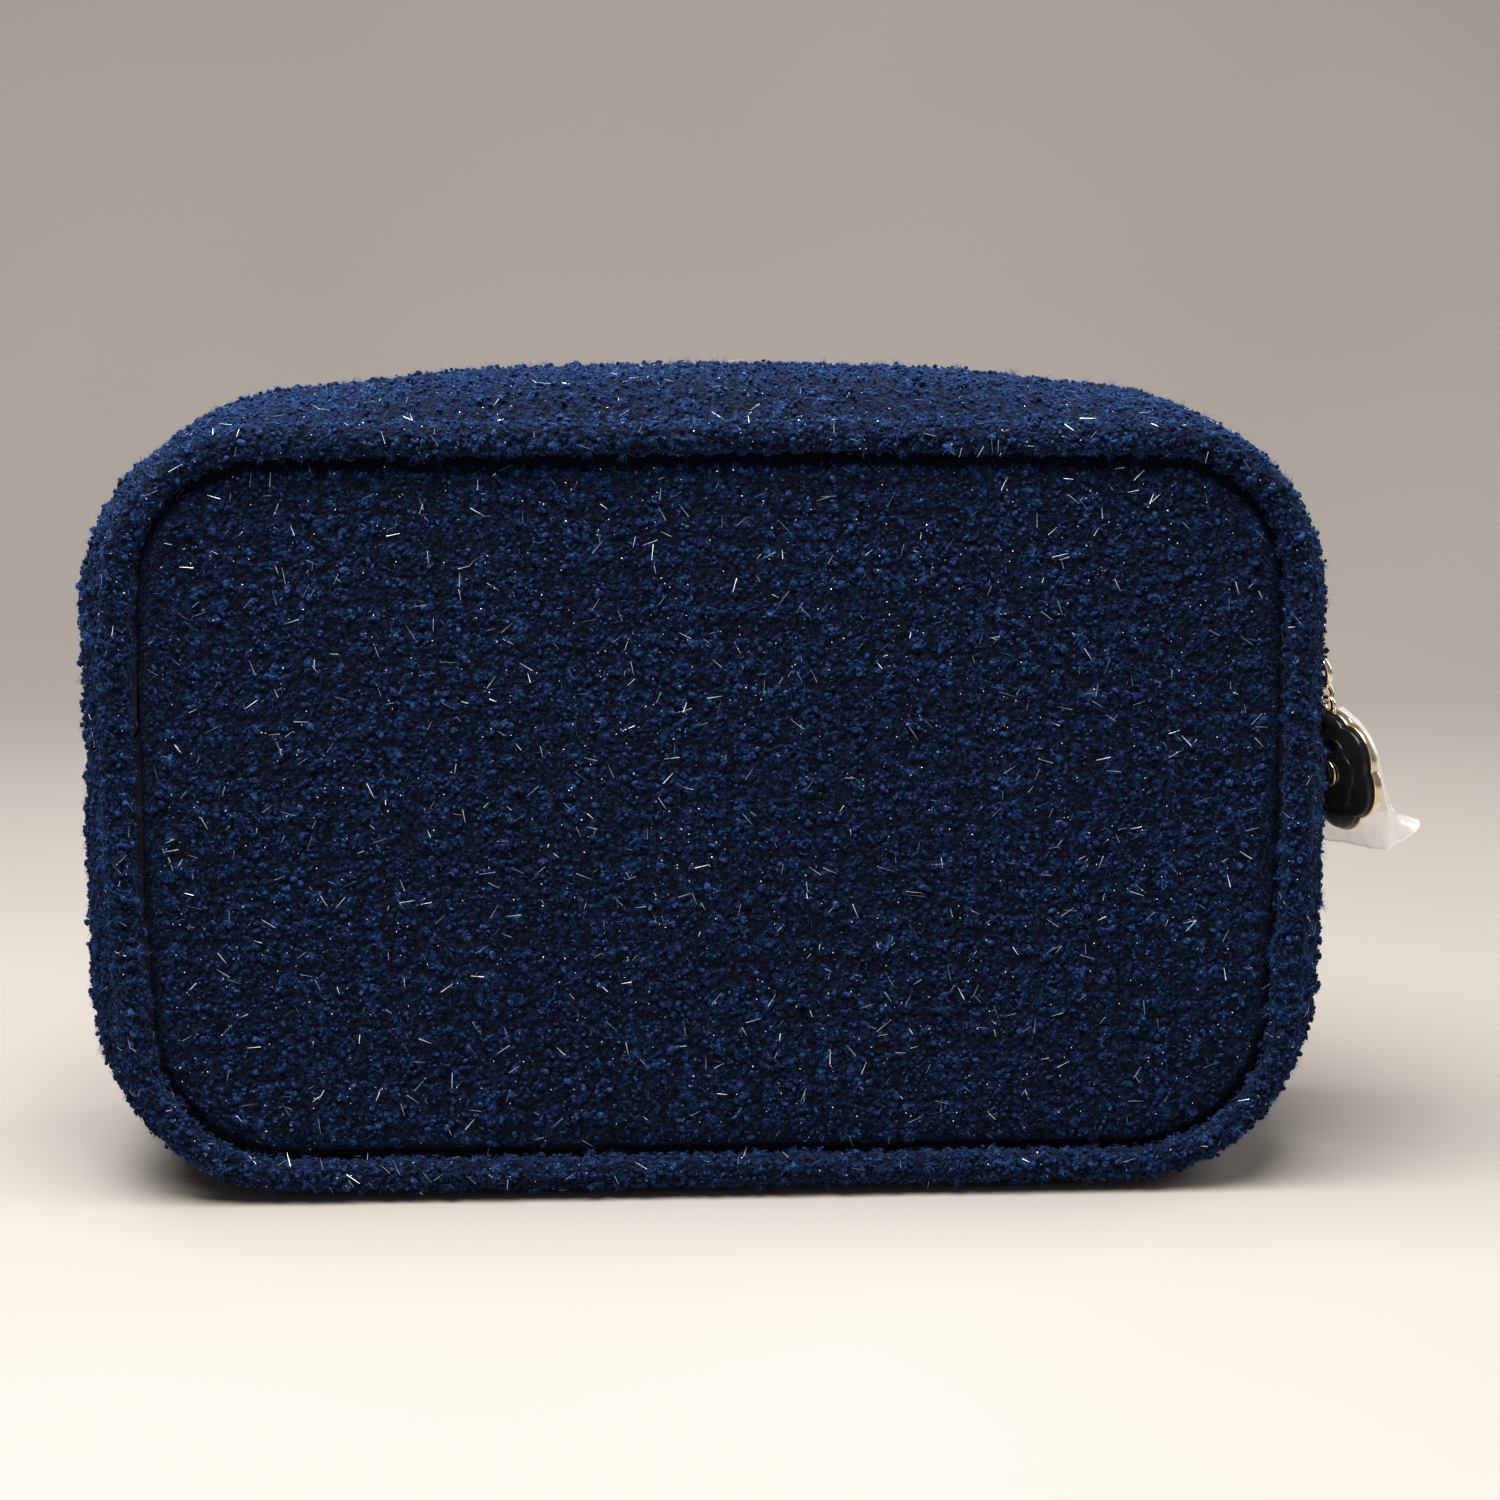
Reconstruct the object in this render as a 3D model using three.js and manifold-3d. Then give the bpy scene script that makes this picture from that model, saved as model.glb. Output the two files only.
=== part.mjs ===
// Box-shaped zippered pouch in boucle tweed, with a chain-hung charm on the zip slider.
// Millimetres, +Z up, +X to the right, front faces -Y. The origin is the centre of the resting face.
import * as THREE from 'three';
import * as BufferGeometryUtils from 'three/addons/utils/BufferGeometryUtils.js';
import Module from 'manifold-3d';

const wasm = await Module();
wasm.setup();

// ---------- driving dimensions ----------
// _T is a thickness; _Y and _Z are places along those axes.
const FACE_T = 1.6;            // tweed
const FOAM_T = 2.5;            // foam interlining
const LINING_T = 0.8;          // panel lining
const GAP = 0.3;               // air between layers
const PANEL_Y = 36.6;          // inner plane of the outer panels
const FOLD_Z = 77.0;           // height of the front fold
const ZIP_END_Z = 93.0;        // height of both ends of the zip

// Corner arcs of the right half: centre and radius in the XZ plane
const SEAM_TOP = { x: 85.3, z: 120.5, radius: 24.2 };
const SEAM_BOTTOM = { x: 82.0, z: 35.5, radius: 26.5 };
const SEAM_BULGE = { side: 1.2, top: 0.6 };           // outward bow of the straight runs
const CREST_TOP = { x: 75.0, z: 110.5, radius: 46.2 };    // gusset crest, at mid depth
const CREST_BOTTOM = { x: 85.2, z: 36.0, radius: 36.0 };
const CREST_BULGE = { side: 0, top: 3.3 };
const SIDE_X = CREST_TOP.x + CREST_TOP.radius;        // outermost X of the gusset

const GUSSET_Y = 34.3;         // half depth of the gusset at its seams
const GUSSET_OUT = 5.0;        // the gusset seam stands this far outside the seam outline
const GUSSET_INNER_Y = 33.4;   // half depth of the layers under the tweed
const GUSSET_LINING_T = 0.7;

// ---------- finishes ----------
const FINISHES = {
  tweed: { color: 0x12233f, roughness: 0.95 },
  lining: { color: 0x0c1320, roughness: 0.8 },
  foam: { color: 0xcfcabb, roughness: 0.95 },
  cord: { color: 0xd8d3c6, roughness: 0.9 },
  tape: { color: 0x0e1a30, roughness: 0.85 },
  coil: { color: 0x14223c, roughness: 0.45 },
  board: { color: 0x6b6257, roughness: 0.9 },
  gold: { color: 0xd8b066, roughness: 0.22, metalness: 1 },
  spring: { color: 0x8f8f92, roughness: 0.35, metalness: 1 },
  enamel: { color: 0x050506, roughness: 0.08 },
  film: { color: 0xe8e6ea, roughness: 0.1, transparent: true, opacity: 0.35 },
};

const pouch = new THREE.Group();

function put(name, geometry, finish, parent = pouch) {
  const mesh = new THREE.Mesh(geometry, new THREE.MeshStandardMaterial(FINISHES[finish]));
  mesh.name = name;
  parent.add(mesh);
}

// ---------- small helpers ----------
const vec = (x, y, z) => new THREE.Vector3(x, y, z);
const radians = THREE.MathUtils.degToRad;
const along = (point, direction, distance) =>
  point.clone().addScaledVector(direction, distance);
// A range on the positive side of an axis, or its mirror image on the negative side
const mirror = (sign, [low, high]) => (sign > 0 ? [low, high] : [-high, -low]);

// ---------- outlines ----------
// Each outline is walked the same way: right side up, over the top, left side down, along the
// bottom. A station holds its place x, z and its outward normal nx, nz.
// Stations of the seam outline and of the crest outline correspond one to one.
const CORNER_STEPS = 5;

function cornerStations(arc, startDegrees, sign) {
  return Array.from({ length: CORNER_STEPS + 1 }, (_, i) => {
    const angle = radians(startDegrees + 90 * i / CORNER_STEPS);
    const nx = Math.cos(angle);
    const nz = Math.sin(angle);
    return { x: sign * arc.x + arc.radius * nx, z: arc.z + arc.radius * nz, nx, nz };
  });
}

function lineStations(start, end, fractions, bulge) {
  const dx = end.x - start.x;
  const dz = end.z - start.z;
  const length = Math.hypot(dx, dz);
  const nx = dz / length;
  const nz = -dx / length;
  return fractions.map(t => {
    const bow = bulge * 4 * t * (1 - t);
    return { x: start.x + dx * t + nx * bow, z: start.z + dz * t + nz * bow, nx, nz };
  });
}

// Returns { upper, lower }: upper from the right zip end to the left one, lower the rest
function outline(top, bottom, bulge) {
  const sideStart = { x: bottom.x + bottom.radius, z: bottom.z };
  const sideEnd = { x: top.x + top.radius, z: top.z };
  const fractionAt = (z) => (z - sideStart.z) / (sideEnd.z - sideStart.z);
  const sideRun = (fractions) => lineStations(sideStart, sideEnd, fractions, bulge.side);
  const toLeft = (run) => run.map(p => ({ ...p, x: -p.x, nx: -p.nx })).reverse();
  const topZ = top.z + top.radius;
  const bottomZ = bottom.z - bottom.radius;

  const upperStart = fractionAt(ZIP_END_Z + GAP);
  const upperSide = sideRun([upperStart, (upperStart + 1) / 2]);
  const topRun = lineStations(
    { x: top.x, z: topZ }, { x: -top.x, z: topZ }, [0.12, 0.28, 0.5, 0.72, 0.88], bulge.top);
  const lowerEnd = fractionAt(ZIP_END_Z - GAP);
  const lowerSide = sideRun([lowerEnd * 0.5, lowerEnd]);
  const bottomRun = lineStations(
    { x: -bottom.x, z: bottomZ }, { x: bottom.x, z: bottomZ }, [0.25, 0.5, 0.75], 0);
  return {
    upper: [
      ...upperSide, ...cornerStations(top, 0, 1), ...topRun,
      ...cornerStations(top, 90, -1), ...toLeft(upperSide)],
    lower: [
      ...toLeft(lowerSide), ...cornerStations(bottom, 180, -1), ...bottomRun,
      ...cornerStations(bottom, 270, 1), ...lowerSide],
  };
}

function seamOutline(out) {
  const grow = (arc) => ({ ...arc, radius: arc.radius + out });
  return outline(grow(SEAM_TOP), grow(SEAM_BOTTOM), SEAM_BULGE);
}

function seamLoop(out) {
  const { upper, lower } = seamOutline(out);
  return [...upper, ...lower];
}

const CREST = outline(CREST_TOP, CREST_BOTTOM, CREST_BULGE);

// ---------- closed solids from rings of points ----------
// sections: arrays of Vector3 with equal even counts, each a simple closed polygon
function loft(sections, closed = false) {
  const size = sections[0].length;
  const count = sections.length;
  const indices = [];
  for (let i = 0; i < (closed ? count : count - 1); i++) {
    for (let j = 0; j < size; j++) {
      const row = i * size;
      const nextRow = ((i + 1) % count) * size;
      const k = (j + 1) % size;
      indices.push(row + j, row + k, nextRow + k, row + j, nextRow + k, nextRow + j);
    }
  }
  if (!closed) {
    // end caps: quads between the first half of the ring and its second half walked backwards
    const last = (count - 1) * size;
    for (let j = 0; j < size / 2 - 1; j++) {
      const [p, q, r, s] = [j, j + 1, size - 2 - j, size - 1 - j];
      indices.push(p, r, q, p, s, r);
      indices.push(last + p, last + q, last + r, last + p, last + r, last + s);
    }
  }
  const positions = sections.flat().flatMap(p => [p.x, p.y, p.z]);
  const geometry = new THREE.BufferGeometry();
  geometry.setAttribute('position', new THREE.Float32BufferAttribute(positions, 3));
  geometry.setIndex(indices);
  return faceOutward(geometry);
}

// Turns every triangle over when the enclosed volume comes out negative
function faceOutward(geometry) {
  const position = geometry.attributes.position;
  const index = geometry.index.array;
  const [a, b, c] = [vec(), vec(), vec()];
  let volume = 0;
  for (let i = 0; i < index.length; i += 3) {
    [a, b, c].forEach((point, k) => point.fromBufferAttribute(position, index[i + k]));
    volume += a.dot(b.cross(c)) / 6;
  }
  if (volume < 0) {
    for (let i = 0; i < index.length; i += 3) {
      [index[i], index[i + 1]] = [index[i + 1], index[i]];
    }
  }
  geometry.computeVertexNormals();
  return geometry;
}

function box([x0, x1], [y0, y1], [z0, z1]) {
  const geometry = new THREE.BoxGeometry(x1 - x0, y1 - y0, z1 - z0);
  return geometry.translate((x0 + x1) / 2, (y0 + y1) / 2, (z0 + z1) / 2);
}

// A shape drawn in XZ, made solid between two depth planes; the bevel stays inside the shape
function slab(shape, [yFront, yBack], bevel = 0) {
  const geometry = new THREE.ExtrudeGeometry(shape, {
    depth: yBack - yFront - 2 * bevel,
    bevelEnabled: bevel > 0,
    bevelThickness: bevel,
    bevelSize: bevel,
    bevelOffset: -bevel,
    bevelSegments: 1,
  });
  geometry.rotateX(Math.PI / 2);          // the extrusion now runs towards -Y
  return geometry.translate(0, yBack - bevel, 0);
}

// ---------- boolean work ----------
function toManifold(geometry) {
  const bare = geometry.clone();
  bare.deleteAttribute('normal');
  bare.deleteAttribute('uv');
  const merged = BufferGeometryUtils.mergeVertices(bare, 1e-4);
  return new wasm.Manifold(new wasm.Mesh({
    numProp: 3,
    vertProperties: Float32Array.from(merged.attributes.position.array),
    triVerts: Uint32Array.from(merged.index.array),
  }));
}

function fromManifold(solid) {
  const mesh = solid.getMesh();
  const positions = Float32Array.from(mesh.vertProperties);
  const geometry = new THREE.BufferGeometry();
  geometry.setAttribute('position', new THREE.BufferAttribute(positions, 3));
  geometry.setIndex(new THREE.BufferAttribute(Uint32Array.from(mesh.triVerts), 1));
  geometry.computeVertexNormals();
  return geometry;
}

const join = (...parts) =>
  fromManifold(parts.map(toManifold).reduce((whole, part) => whole.add(part)));
const subtract = (body, tool) => fromManifold(toManifold(body).subtract(toManifold(tool)));

// ---------- panels, piping, bindings ----------
const PIPE_OUT = 3.6;          // the piping centre stands this far outside the seam outline
const PIPE_Y = 37.9;           // piping centre plane
const PIPE_R = 3.1;            // piping cover outer radius
const CORD_R = 1.7;            // piping cord radius
const CORD_SIDES = 6;
const SLIT_DEGREES = 24;       // half angle of the slit in the piping cover
const COVER_STEPS = 7;
const BINDING = { out: [-2.0, -1.1], y: [27.5, 31.5] };
const FACE_OUT = -0.9;         // panel edges, measured outwards from the seam outline
const BACKING_OUT = -1.2;
const CUT_MARGIN = 1;          // stations closer than this to a band's edge are dropped

// Height bands of the front; each keeps what lies on its own side of its edge
const BANDS = {
  upper: { sign: 1, edge: FOLD_Z + GAP },
  lower: { sign: -1, edge: FOLD_Z - 2 * GAP },
};

// Flat panel piece: the seam outline moved outwards, cut to a band if one is given
function panel(out, ySpan, band) {
  let points = seamLoop(out).map(p => new THREE.Vector2(p.x, p.z));
  if (band) {
    const { sign, edge } = band;
    const inside = (p) => sign * (p.y - edge) > 0;
    points = points.flatMap((p, i) => {
      const q = points[(i + 1) % points.length];
      const kept = inside(p) ? [p] : [];
      if (inside(p) !== inside(q)) {
        const x = p.x + (q.x - p.x) * (edge - p.y) / (q.y - p.y);
        kept.push(new THREE.Vector2(x, edge));
      }
      return kept;
    });
  }
  return slab(new THREE.Shape(points), ySpan);
}

// Ring, or the part of it in a band, following the seam outline with a profile of [out, y]
function follow(profile, band) {
  const loop = seamLoop(0);
  const section = (p) => profile.map(([out, y]) => vec(p.x + p.nx * out, y, p.z + p.nz * out));
  if (!band) return loft(loop.map(section), true);
  const { sign, edge } = band;
  const inside = (p) => sign * (p.z - edge) > CUT_MARGIN;
  const cut = (a, b) => {
    const t = (edge - a.z) / (b.z - a.z);
    return { x: a.x + (b.x - a.x) * t, z: edge, nx: Math.sign(b.nx), nz: 0 };
  };
  // start the walk at the first station inside the band
  const start = loop.findIndex((p, i) => inside(p) && !inside(loop.at(i - 1)));
  const turned = [...loop.slice(start), ...loop.slice(0, start)];
  const end = turned.findIndex(p => !inside(p));
  const run = [
    cut(turned[0], turned.at(-1)),
    ...turned.slice(0, end),
    cut(turned[end - 1], turned[end])];
  return loft(run.map(section));
}

// Point of a piping profile; angle 0 faces the body of the pouch
function pipePoint(sign, radius, degrees) {
  const angle = radians(degrees);
  return [PIPE_OUT + radius * Math.sin(angle), sign * (PIPE_Y - radius * Math.cos(angle))];
}

// Slit tube around the cord, its slit facing the body of the pouch
function coverProfile(sign) {
  const angles = Array.from({ length: COVER_STEPS + 1 },
    (_, i) => SLIT_DEGREES + (360 - 2 * SLIT_DEGREES) * i / COVER_STEPS);
  const outer = angles.map(angle => pipePoint(sign, PIPE_R, angle));
  const inner = angles.map(angle => pipePoint(sign, CORD_R + GAP, angle));
  return [...outer, ...inner.reverse()];
}

function cordProfile(sign) {
  return Array.from({ length: CORD_SIDES },
    (_, i) => pipePoint(sign, CORD_R, i * 360 / CORD_SIDES));
}

function bindingProfile(sign) {
  const [outLow, outHigh] = BINDING.out;
  const [yLow, yHigh] = BINDING.y.map(y => sign * y);
  return [[outHigh, yHigh], [outLow, yHigh], [outLow, yLow], [outHigh, yLow]];
}

const FOAM_Y = PANEL_Y - GAP - FOAM_T;
const FACE_SPAN = [PANEL_Y, PANEL_Y + FACE_T];
const FOAM_SPAN = [FOAM_Y, PANEL_Y - GAP];
const LINING_SPAN = [FOAM_Y - GAP - LINING_T, FOAM_Y - GAP];

function addPanel(side, sign, bandName) {
  const band = BANDS[bandName];
  const add = (piece, geometry, finish) =>
    put(`${side}_${piece}${band ? '_' + bandName : ''}`, geometry, finish);
  add('panel_face', panel(FACE_OUT, mirror(sign, FACE_SPAN), band), 'tweed');
  add('panel_foam', panel(BACKING_OUT, mirror(sign, FOAM_SPAN), band), 'foam');
  add('panel_lining', panel(BACKING_OUT, mirror(sign, LINING_SPAN), band), 'lining');
  add('piping_cover', follow(coverProfile(sign), band), 'tweed');
  add('piping_cord', follow(cordProfile(sign), band), 'cord');
  add('seam_binding', follow(bindingProfile(sign), band), 'tape');
}
addPanel('back', 1);
addPanel('front', -1, 'upper');
addPanel('front', -1, 'lower');

// ---------- gusset layers ----------
// Every layer is bent at the same depths, so that the gaps between layers stay even
const BENDS_Y = [-33.4, -31, -28, -22, -14, -6.2, 0, 6.2, 14, 22, 28, 31, 33.4];
const BEND_MARGIN = 0.1;       // bends this close to a layer's edge are dropped
const SIDE_POWER = 4.5;        // roundness of the profile from seam to crest
const FLAT_Y = 22;             // half depth of the flat part of the bottom

const sideRise = (y) => 1 - Math.pow(Math.abs(y) / GUSSET_Y, SIDE_POWER);
const flatRise = (y) =>
  1 - Math.pow(Math.max(Math.abs(y) - FLAT_Y, 0) / (GUSSET_Y - FLAT_Y), 2);

// A layer between two depths below the outer face, on the 'upper' or 'lower' run
function gussetLayer(runName, [outerDepth, innerDepth], [y0, y1]) {
  const inner = BENDS_Y.filter(y => y > y0 + BEND_MARGIN && y < y1 - BEND_MARGIN);
  const ys = [y0, ...inner, y1];
  const sections = seamOutline(GUSSET_OUT)[runName].map((seam, i) => {
    const crest = CREST[runName][i];
    // on the lower run the flat profile takes over from the rounded one through the corners
    const flatness = runName === 'lower' ? THREE.MathUtils.smoothstep(-seam.nz, 0.2, 1) : 0;
    const at = (y, depth) => {
      const rise = (1 - flatness) * sideRise(y) + flatness * flatRise(y);
      const mix = (key) => seam[key] + (crest[key] - seam[key]) * rise;
      const nx = mix('nx');
      const nz = mix('nz');
      const length = Math.hypot(nx, nz);
      return vec(mix('x') - nx / length * depth, y, mix('z') - nz / length * depth);
    };
    return [...ys.map(y => at(y, outerDepth)), ...ys.toReversed().map(y => at(y, innerDepth))];
  });
  return loft(sections);
}

// ---------- zip gusset ----------
const LIP_EDGE_Y = 1.0;        // the zip facings end this far from the mid plane
const COIL_Y = [0.8, 3.2];     // coil, from the mid plane
const COIL_DEPTHS = [2.3, 4.4];
const COIL_END_Z = 97.3;
const FACING_LINING_DEPTH = 5.0;

// piece, depths below the outer face, span from the mid plane, finish
const ZIP_LAYERS = [
  ['zip_facing', [0, FACE_T], [LIP_EDGE_Y, GUSSET_Y], 'tweed'],
  ['facing_foam', [FACE_T + GAP, FACE_T + GAP + FOAM_T], [15.5, GUSSET_INNER_Y], 'foam'],
  ['facing_lining', [FACING_LINING_DEPTH, FACING_LINING_DEPTH + GUSSET_LINING_T],
    [6.2, GUSSET_INNER_Y], 'lining'],
  ['zip_tape', [2.5, 3.1], [COIL_Y[1] + GAP, 15.0], 'tape'],
];

function coilStrip([y0, y1]) {
  const [outer, inner] = COIL_DEPTHS;
  const last = CREST.upper.length - 1;
  const sections = CREST.upper.map((station, i) => {
    const z = i === 0 || i === last ? COIL_END_Z : station.z;
    const at = (depth, y) => vec(station.x - station.nx * depth, y, z - station.nz * depth);
    return [at(outer, y0), at(outer, y1), at(inner, y1), at(inner, y0)];
  });
  return loft(sections);
}

for (const [side, sign] of [['front', -1], ['back', 1]]) {
  for (const [piece, depths, span, finish] of ZIP_LAYERS) {
    put(`${side}_${piece}`, gussetLayer('upper', depths, mirror(sign, span)), finish);
  }
  put(`${side}_zip_coil`, coilStrip(mirror(sign, COIL_Y)), 'coil');
}

// Stops and end tabs, given on the right side
const STOP_X = [SIDE_X - 4.6, SIDE_X - 2.1];
const STOP_Z = [94.4, 96.7];
const TAB_X = [SIDE_X - 8.0, SIDE_X - 7.0];
const TAB_Y = [-8, 8];
const TAB_Z = [82, 95];
put('zip_bottom_stop', box(STOP_X, [-2.8, 2.8], STOP_Z), 'gold');
put('front_top_stop', box(mirror(-1, STOP_X), mirror(-1, COIL_Y), STOP_Z), 'gold');
put('back_top_stop', box(mirror(-1, STOP_X), COIL_Y, STOP_Z), 'gold');
put('zip_end_tab_right', box(TAB_X, TAB_Y, TAB_Z), 'lining');
put('zip_end_tab_left', box(mirror(-1, TAB_X), TAB_Y, TAB_Z), 'lining');

// ---------- base gusset and board ----------
const BASE_FOAM = { depth: FACE_T + 2 * GAP, thickness: 1.5 };
const BASE_LINING = { depth: 5.4, thickness: GUSSET_LINING_T };
const BOARD = { halfX: 76, halfY: 21, radius: 9, z: 4.1, thickness: 0.9 };

function baseLayer({ depth, thickness }, halfY) {
  return gussetLayer('lower', [depth, depth + thickness], [-halfY, halfY]);
}

function baseBoard() {
  const { halfX, halfY, radius, z, thickness } = BOARD;
  const shape = new THREE.Shape();
  [[1, 1], [-1, 1], [-1, -1], [1, -1]].forEach(([signX, signY], i) => {
    shape.absarc(signX * (halfX - radius), signY * (halfY - radius), radius,
      i * Math.PI / 2, (i + 1) * Math.PI / 2);
  });
  return new THREE.ExtrudeGeometry(shape, {
    depth: thickness, bevelEnabled: false, curveSegments: 3,
  }).translate(0, 0, z);
}

put('base_gusset_face', baseLayer({ depth: 0, thickness: FACE_T }, GUSSET_Y), 'tweed');
put('base_gusset_foam', baseLayer(BASE_FOAM, GUSSET_INNER_Y), 'foam');
put('base_gusset_lining', baseLayer(BASE_LINING, GUSSET_INNER_Y), 'lining');
put('base_board', baseBoard(), 'board');

// ---------- slider, on the right side ----------
const SLIDER_Z = [99, 111];
const PLATE_IN = SIDE_X + 0.6;                        // outer plate, inner and outer face
const PLATE_OUT = SIDE_X + 1.8;
const INNER_PLATE_X = [SIDE_X - 7.9, SIDE_X - 7.0];
const NECK = { x: [SIDE_X - 7.4, PLATE_IN + 0.4], y: [-0.4, 0.4], z: [106.5, 109.5] };
const MOUNT_X = PLATE_OUT + GAP;                      // where bail and lock spring start
const BAIL_X = SIDE_X + 4.6;                          // centre line of the bail's long side
const BAIL_WIRE = 0.62;
const BAIL_SIDES = 8;
const BAIL_STEPS = 24;
// centre line, [x, z] from the upper end to the lower one
const BAIL_PATH = [
  [MOUNT_X, 109.2], [MOUNT_X + 1.3, 109.0], [BAIL_X, 106.8], [BAIL_X + 0.1, 103.5],
  [BAIL_X - 0.1, 100.8], [BAIL_X - 1.2, 99.35], [MOUNT_X, 99.5],
];

// Shield-shaped plate in the YZ plane, with its half widths at the top and at the bottom
function taperPlate([x0, x1], wide, narrow) {
  const [z0, z1] = SLIDER_Z;
  const half = [[narrow, z0], [wide, z0 + 6], [wide, z1 - 2], [wide - 1.4, z1]];
  const points = [[-narrow, z0], ...half, ...half.slice(1).reverse().map(([y, z]) => [-y, z])];
  const shape = new THREE.Shape(points.map(([y, z]) => new THREE.Vector2(y, z)));
  const geometry = new THREE.ExtrudeGeometry(shape, { depth: x1 - x0, bevelEnabled: false });
  geometry.rotateX(Math.PI / 2);
  geometry.rotateZ(Math.PI / 2);          // shape (u, v) -> (Y, Z), depth -> X
  return geometry.translate(x0, 0, 0);
}

function bail() {
  const points = BAIL_PATH.map(([x, z]) => vec(x, 0, z));
  const path = new THREE.CatmullRomCurve3(points, false, 'catmullrom');
  const shape = new THREE.Shape(Array.from({ length: BAIL_SIDES }, (_, i) => {
    const angle = 2 * Math.PI * i / BAIL_SIDES;
    return new THREE.Vector2(BAIL_WIRE * Math.cos(angle), BAIL_WIRE * Math.sin(angle));
  }));
  return new THREE.ExtrudeGeometry(shape, {
    steps: BAIL_STEPS, bevelEnabled: false, extrudePath: path,
  });
}

put('slider_body', join(
  taperPlate([PLATE_IN, PLATE_OUT], 4.0, 1.1),
  box(NECK.x, NECK.y, NECK.z),
  taperPlate(INNER_PLATE_X, 3.8, 2.6)), 'gold');
put('slider_bail', bail(), 'gold');
put('slider_lock_spring',
  box([MOUNT_X, MOUNT_X + 0.4], [-0.9, 0.9], [102.6, 107.6]), 'spring');

// ---------- pull chain ----------
// Wire loop: down is the direction it hangs, side lies in its plane, wire is the wire's radius.
// Half sizes run to the centre of the wire.
function ring({ centre, down, side, halfWidth, halfHeight, wire, segments, sides }) {
  const normal = vec().crossVectors(down, side).normalize();
  const across = vec().crossVectors(normal, down).normalize();
  const sections = Array.from({ length: segments }, (_, i) => {
    const angle = 2 * Math.PI * i / segments;
    const cos = Math.cos(angle);
    const sin = Math.sin(angle);
    const outward = across.clone().multiplyScalar(cos).addScaledVector(down, sin);
    const middle = along(along(centre, across, halfWidth * cos), down, halfHeight * sin);
    return Array.from({ length: sides }, (_, j) => {
      const turn = 2 * Math.PI * j / sides;
      return along(along(middle, outward, wire * Math.cos(turn)), normal, wire * Math.sin(turn));
    });
  });
  return loft(sections, true);
}

const CHAIN_PLAY = 0.2;                               // air between wires hung in one another
const RING_TOP = vec(BAIL_X - 1.55, 0, 100.95);       // wire centre where the ring hangs
const RING_TILT = 0.25;                               // radians
const RING_DOWN = vec(Math.sin(RING_TILT), 0, -Math.cos(RING_TILT));
const RING_R = 3.45;
const RING_WIRE = 0.6;
const LINK_DOWN = vec(0.52, 0, -0.854).normalize();
const LINK_HALF_WIDTH = 1.75;
const LINK_HALF_HEIGHT = 2.35;
const LINK_WIRE = 0.45;

const ringBottom = along(RING_TOP, RING_DOWN, 2 * RING_R);
const linkTop = along(ringBottom, LINK_DOWN, -(RING_WIRE + LINK_WIRE + CHAIN_PLAY));
const linkBottom = along(linkTop, LINK_DOWN, 2 * LINK_HALF_HEIGHT);

put('pull_ring', ring({
  centre: along(RING_TOP, RING_DOWN, RING_R), down: RING_DOWN, side: vec(-0.44, 0.9, 0),
  halfWidth: RING_R, halfHeight: RING_R, wire: RING_WIRE, segments: 20, sides: 8,
}), 'gold');
put('connector_link', ring({
  centre: along(linkTop, LINK_DOWN, LINK_HALF_HEIGHT), down: LINK_DOWN, side: vec(0.9, 0.44, 0),
  halfWidth: LINK_HALF_WIDTH, halfHeight: LINK_HALF_HEIGHT, wire: LINK_WIRE,
  segments: 16, sides: 6,
}), 'gold');

// ---------- charm: round scalloped plate hung by an eyelet, in its own frame ----------
// Local frame: eyelet at the origin, plate below it, decorated face towards -Y
const CHARM_R = 12.6;
const CHARM_TURN = { lean: 8, roll: 6, yaw: -64 };    // how the charm hangs, degrees
const LOBES = 6;
const LOBE_DEPTH = 1.3;
const EYE_R = 1.55;
const EYE_WIRE = 0.5;
const EYE_Y = 0.8;
const EYE_OVERLAP = 0.9;                              // the eyelet sinks this far into the plate
const DISC_Z = -(EYE_R + EYE_WIRE) - CHARM_R + EYE_OVERLAP;
const COLLAR_R = 2.6;
const ENAMEL_BACK_Y = -0.2;
const BEAD = { radius: 1.65, flatten: 0.85, y: -2.6 };

// Outline about the plate centre: a circle, scalloped when lobeDepth is given
function roundShape(radius, count, lobeDepth = 0) {
  return new THREE.Shape(Array.from({ length: count }, (_, i) => {
    const angle = 2 * Math.PI * i / count;
    const reach = radius - lobeDepth + lobeDepth * Math.abs(Math.cos(LOBES * angle / 2));
    return new THREE.Vector2(reach * Math.sin(angle), DISC_Z + reach * Math.cos(angle));
  }));
}
const scallop = (radius) => roundShape(radius, 40, LOBE_DEPTH);
const disc = (radius) => roundShape(radius, 20);

const charm = new THREE.Group();
const eyelet = ring({
  centre: vec(0, EYE_Y, 0), down: vec(0, 0, -1), side: vec(1, 0, 0),
  halfWidth: EYE_R, halfHeight: EYE_R, wire: EYE_WIRE, segments: 14, sides: 6,
});
put('charm_setting', join(slab(scallop(CHARM_R), [0.1, 1.7], 0.3), eyelet), 'gold', charm);
put('charm_enamel', subtract(
  slab(scallop(CHARM_R - 0.5), [-1.7, ENAMEL_BACK_Y], 0.5),
  slab(disc(COLLAR_R + GAP), [-3, 1])), 'enamel', charm);
put('charm_collar', subtract(
  slab(disc(COLLAR_R), [-2.1, ENAMEL_BACK_Y]),
  slab(disc(2.0), [-3, -0.9])), 'gold', charm);
put('charm_bead', new THREE.SphereGeometry(BEAD.radius, 14, 8)
  .scale(1, BEAD.flatten, 1)
  .translate(0, BEAD.y, DISC_Z), 'enamel', charm);

// Clear sleeve: a thin sheet bent around the +X edge and back of the charm, flaring to the
// lower +X corner
const FILM_T = 0.3;
const FLARE_ROW = 4;           // the flare grows by FLARE_STEP per row after this one
const FLARE_STEP = 0.5;
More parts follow.
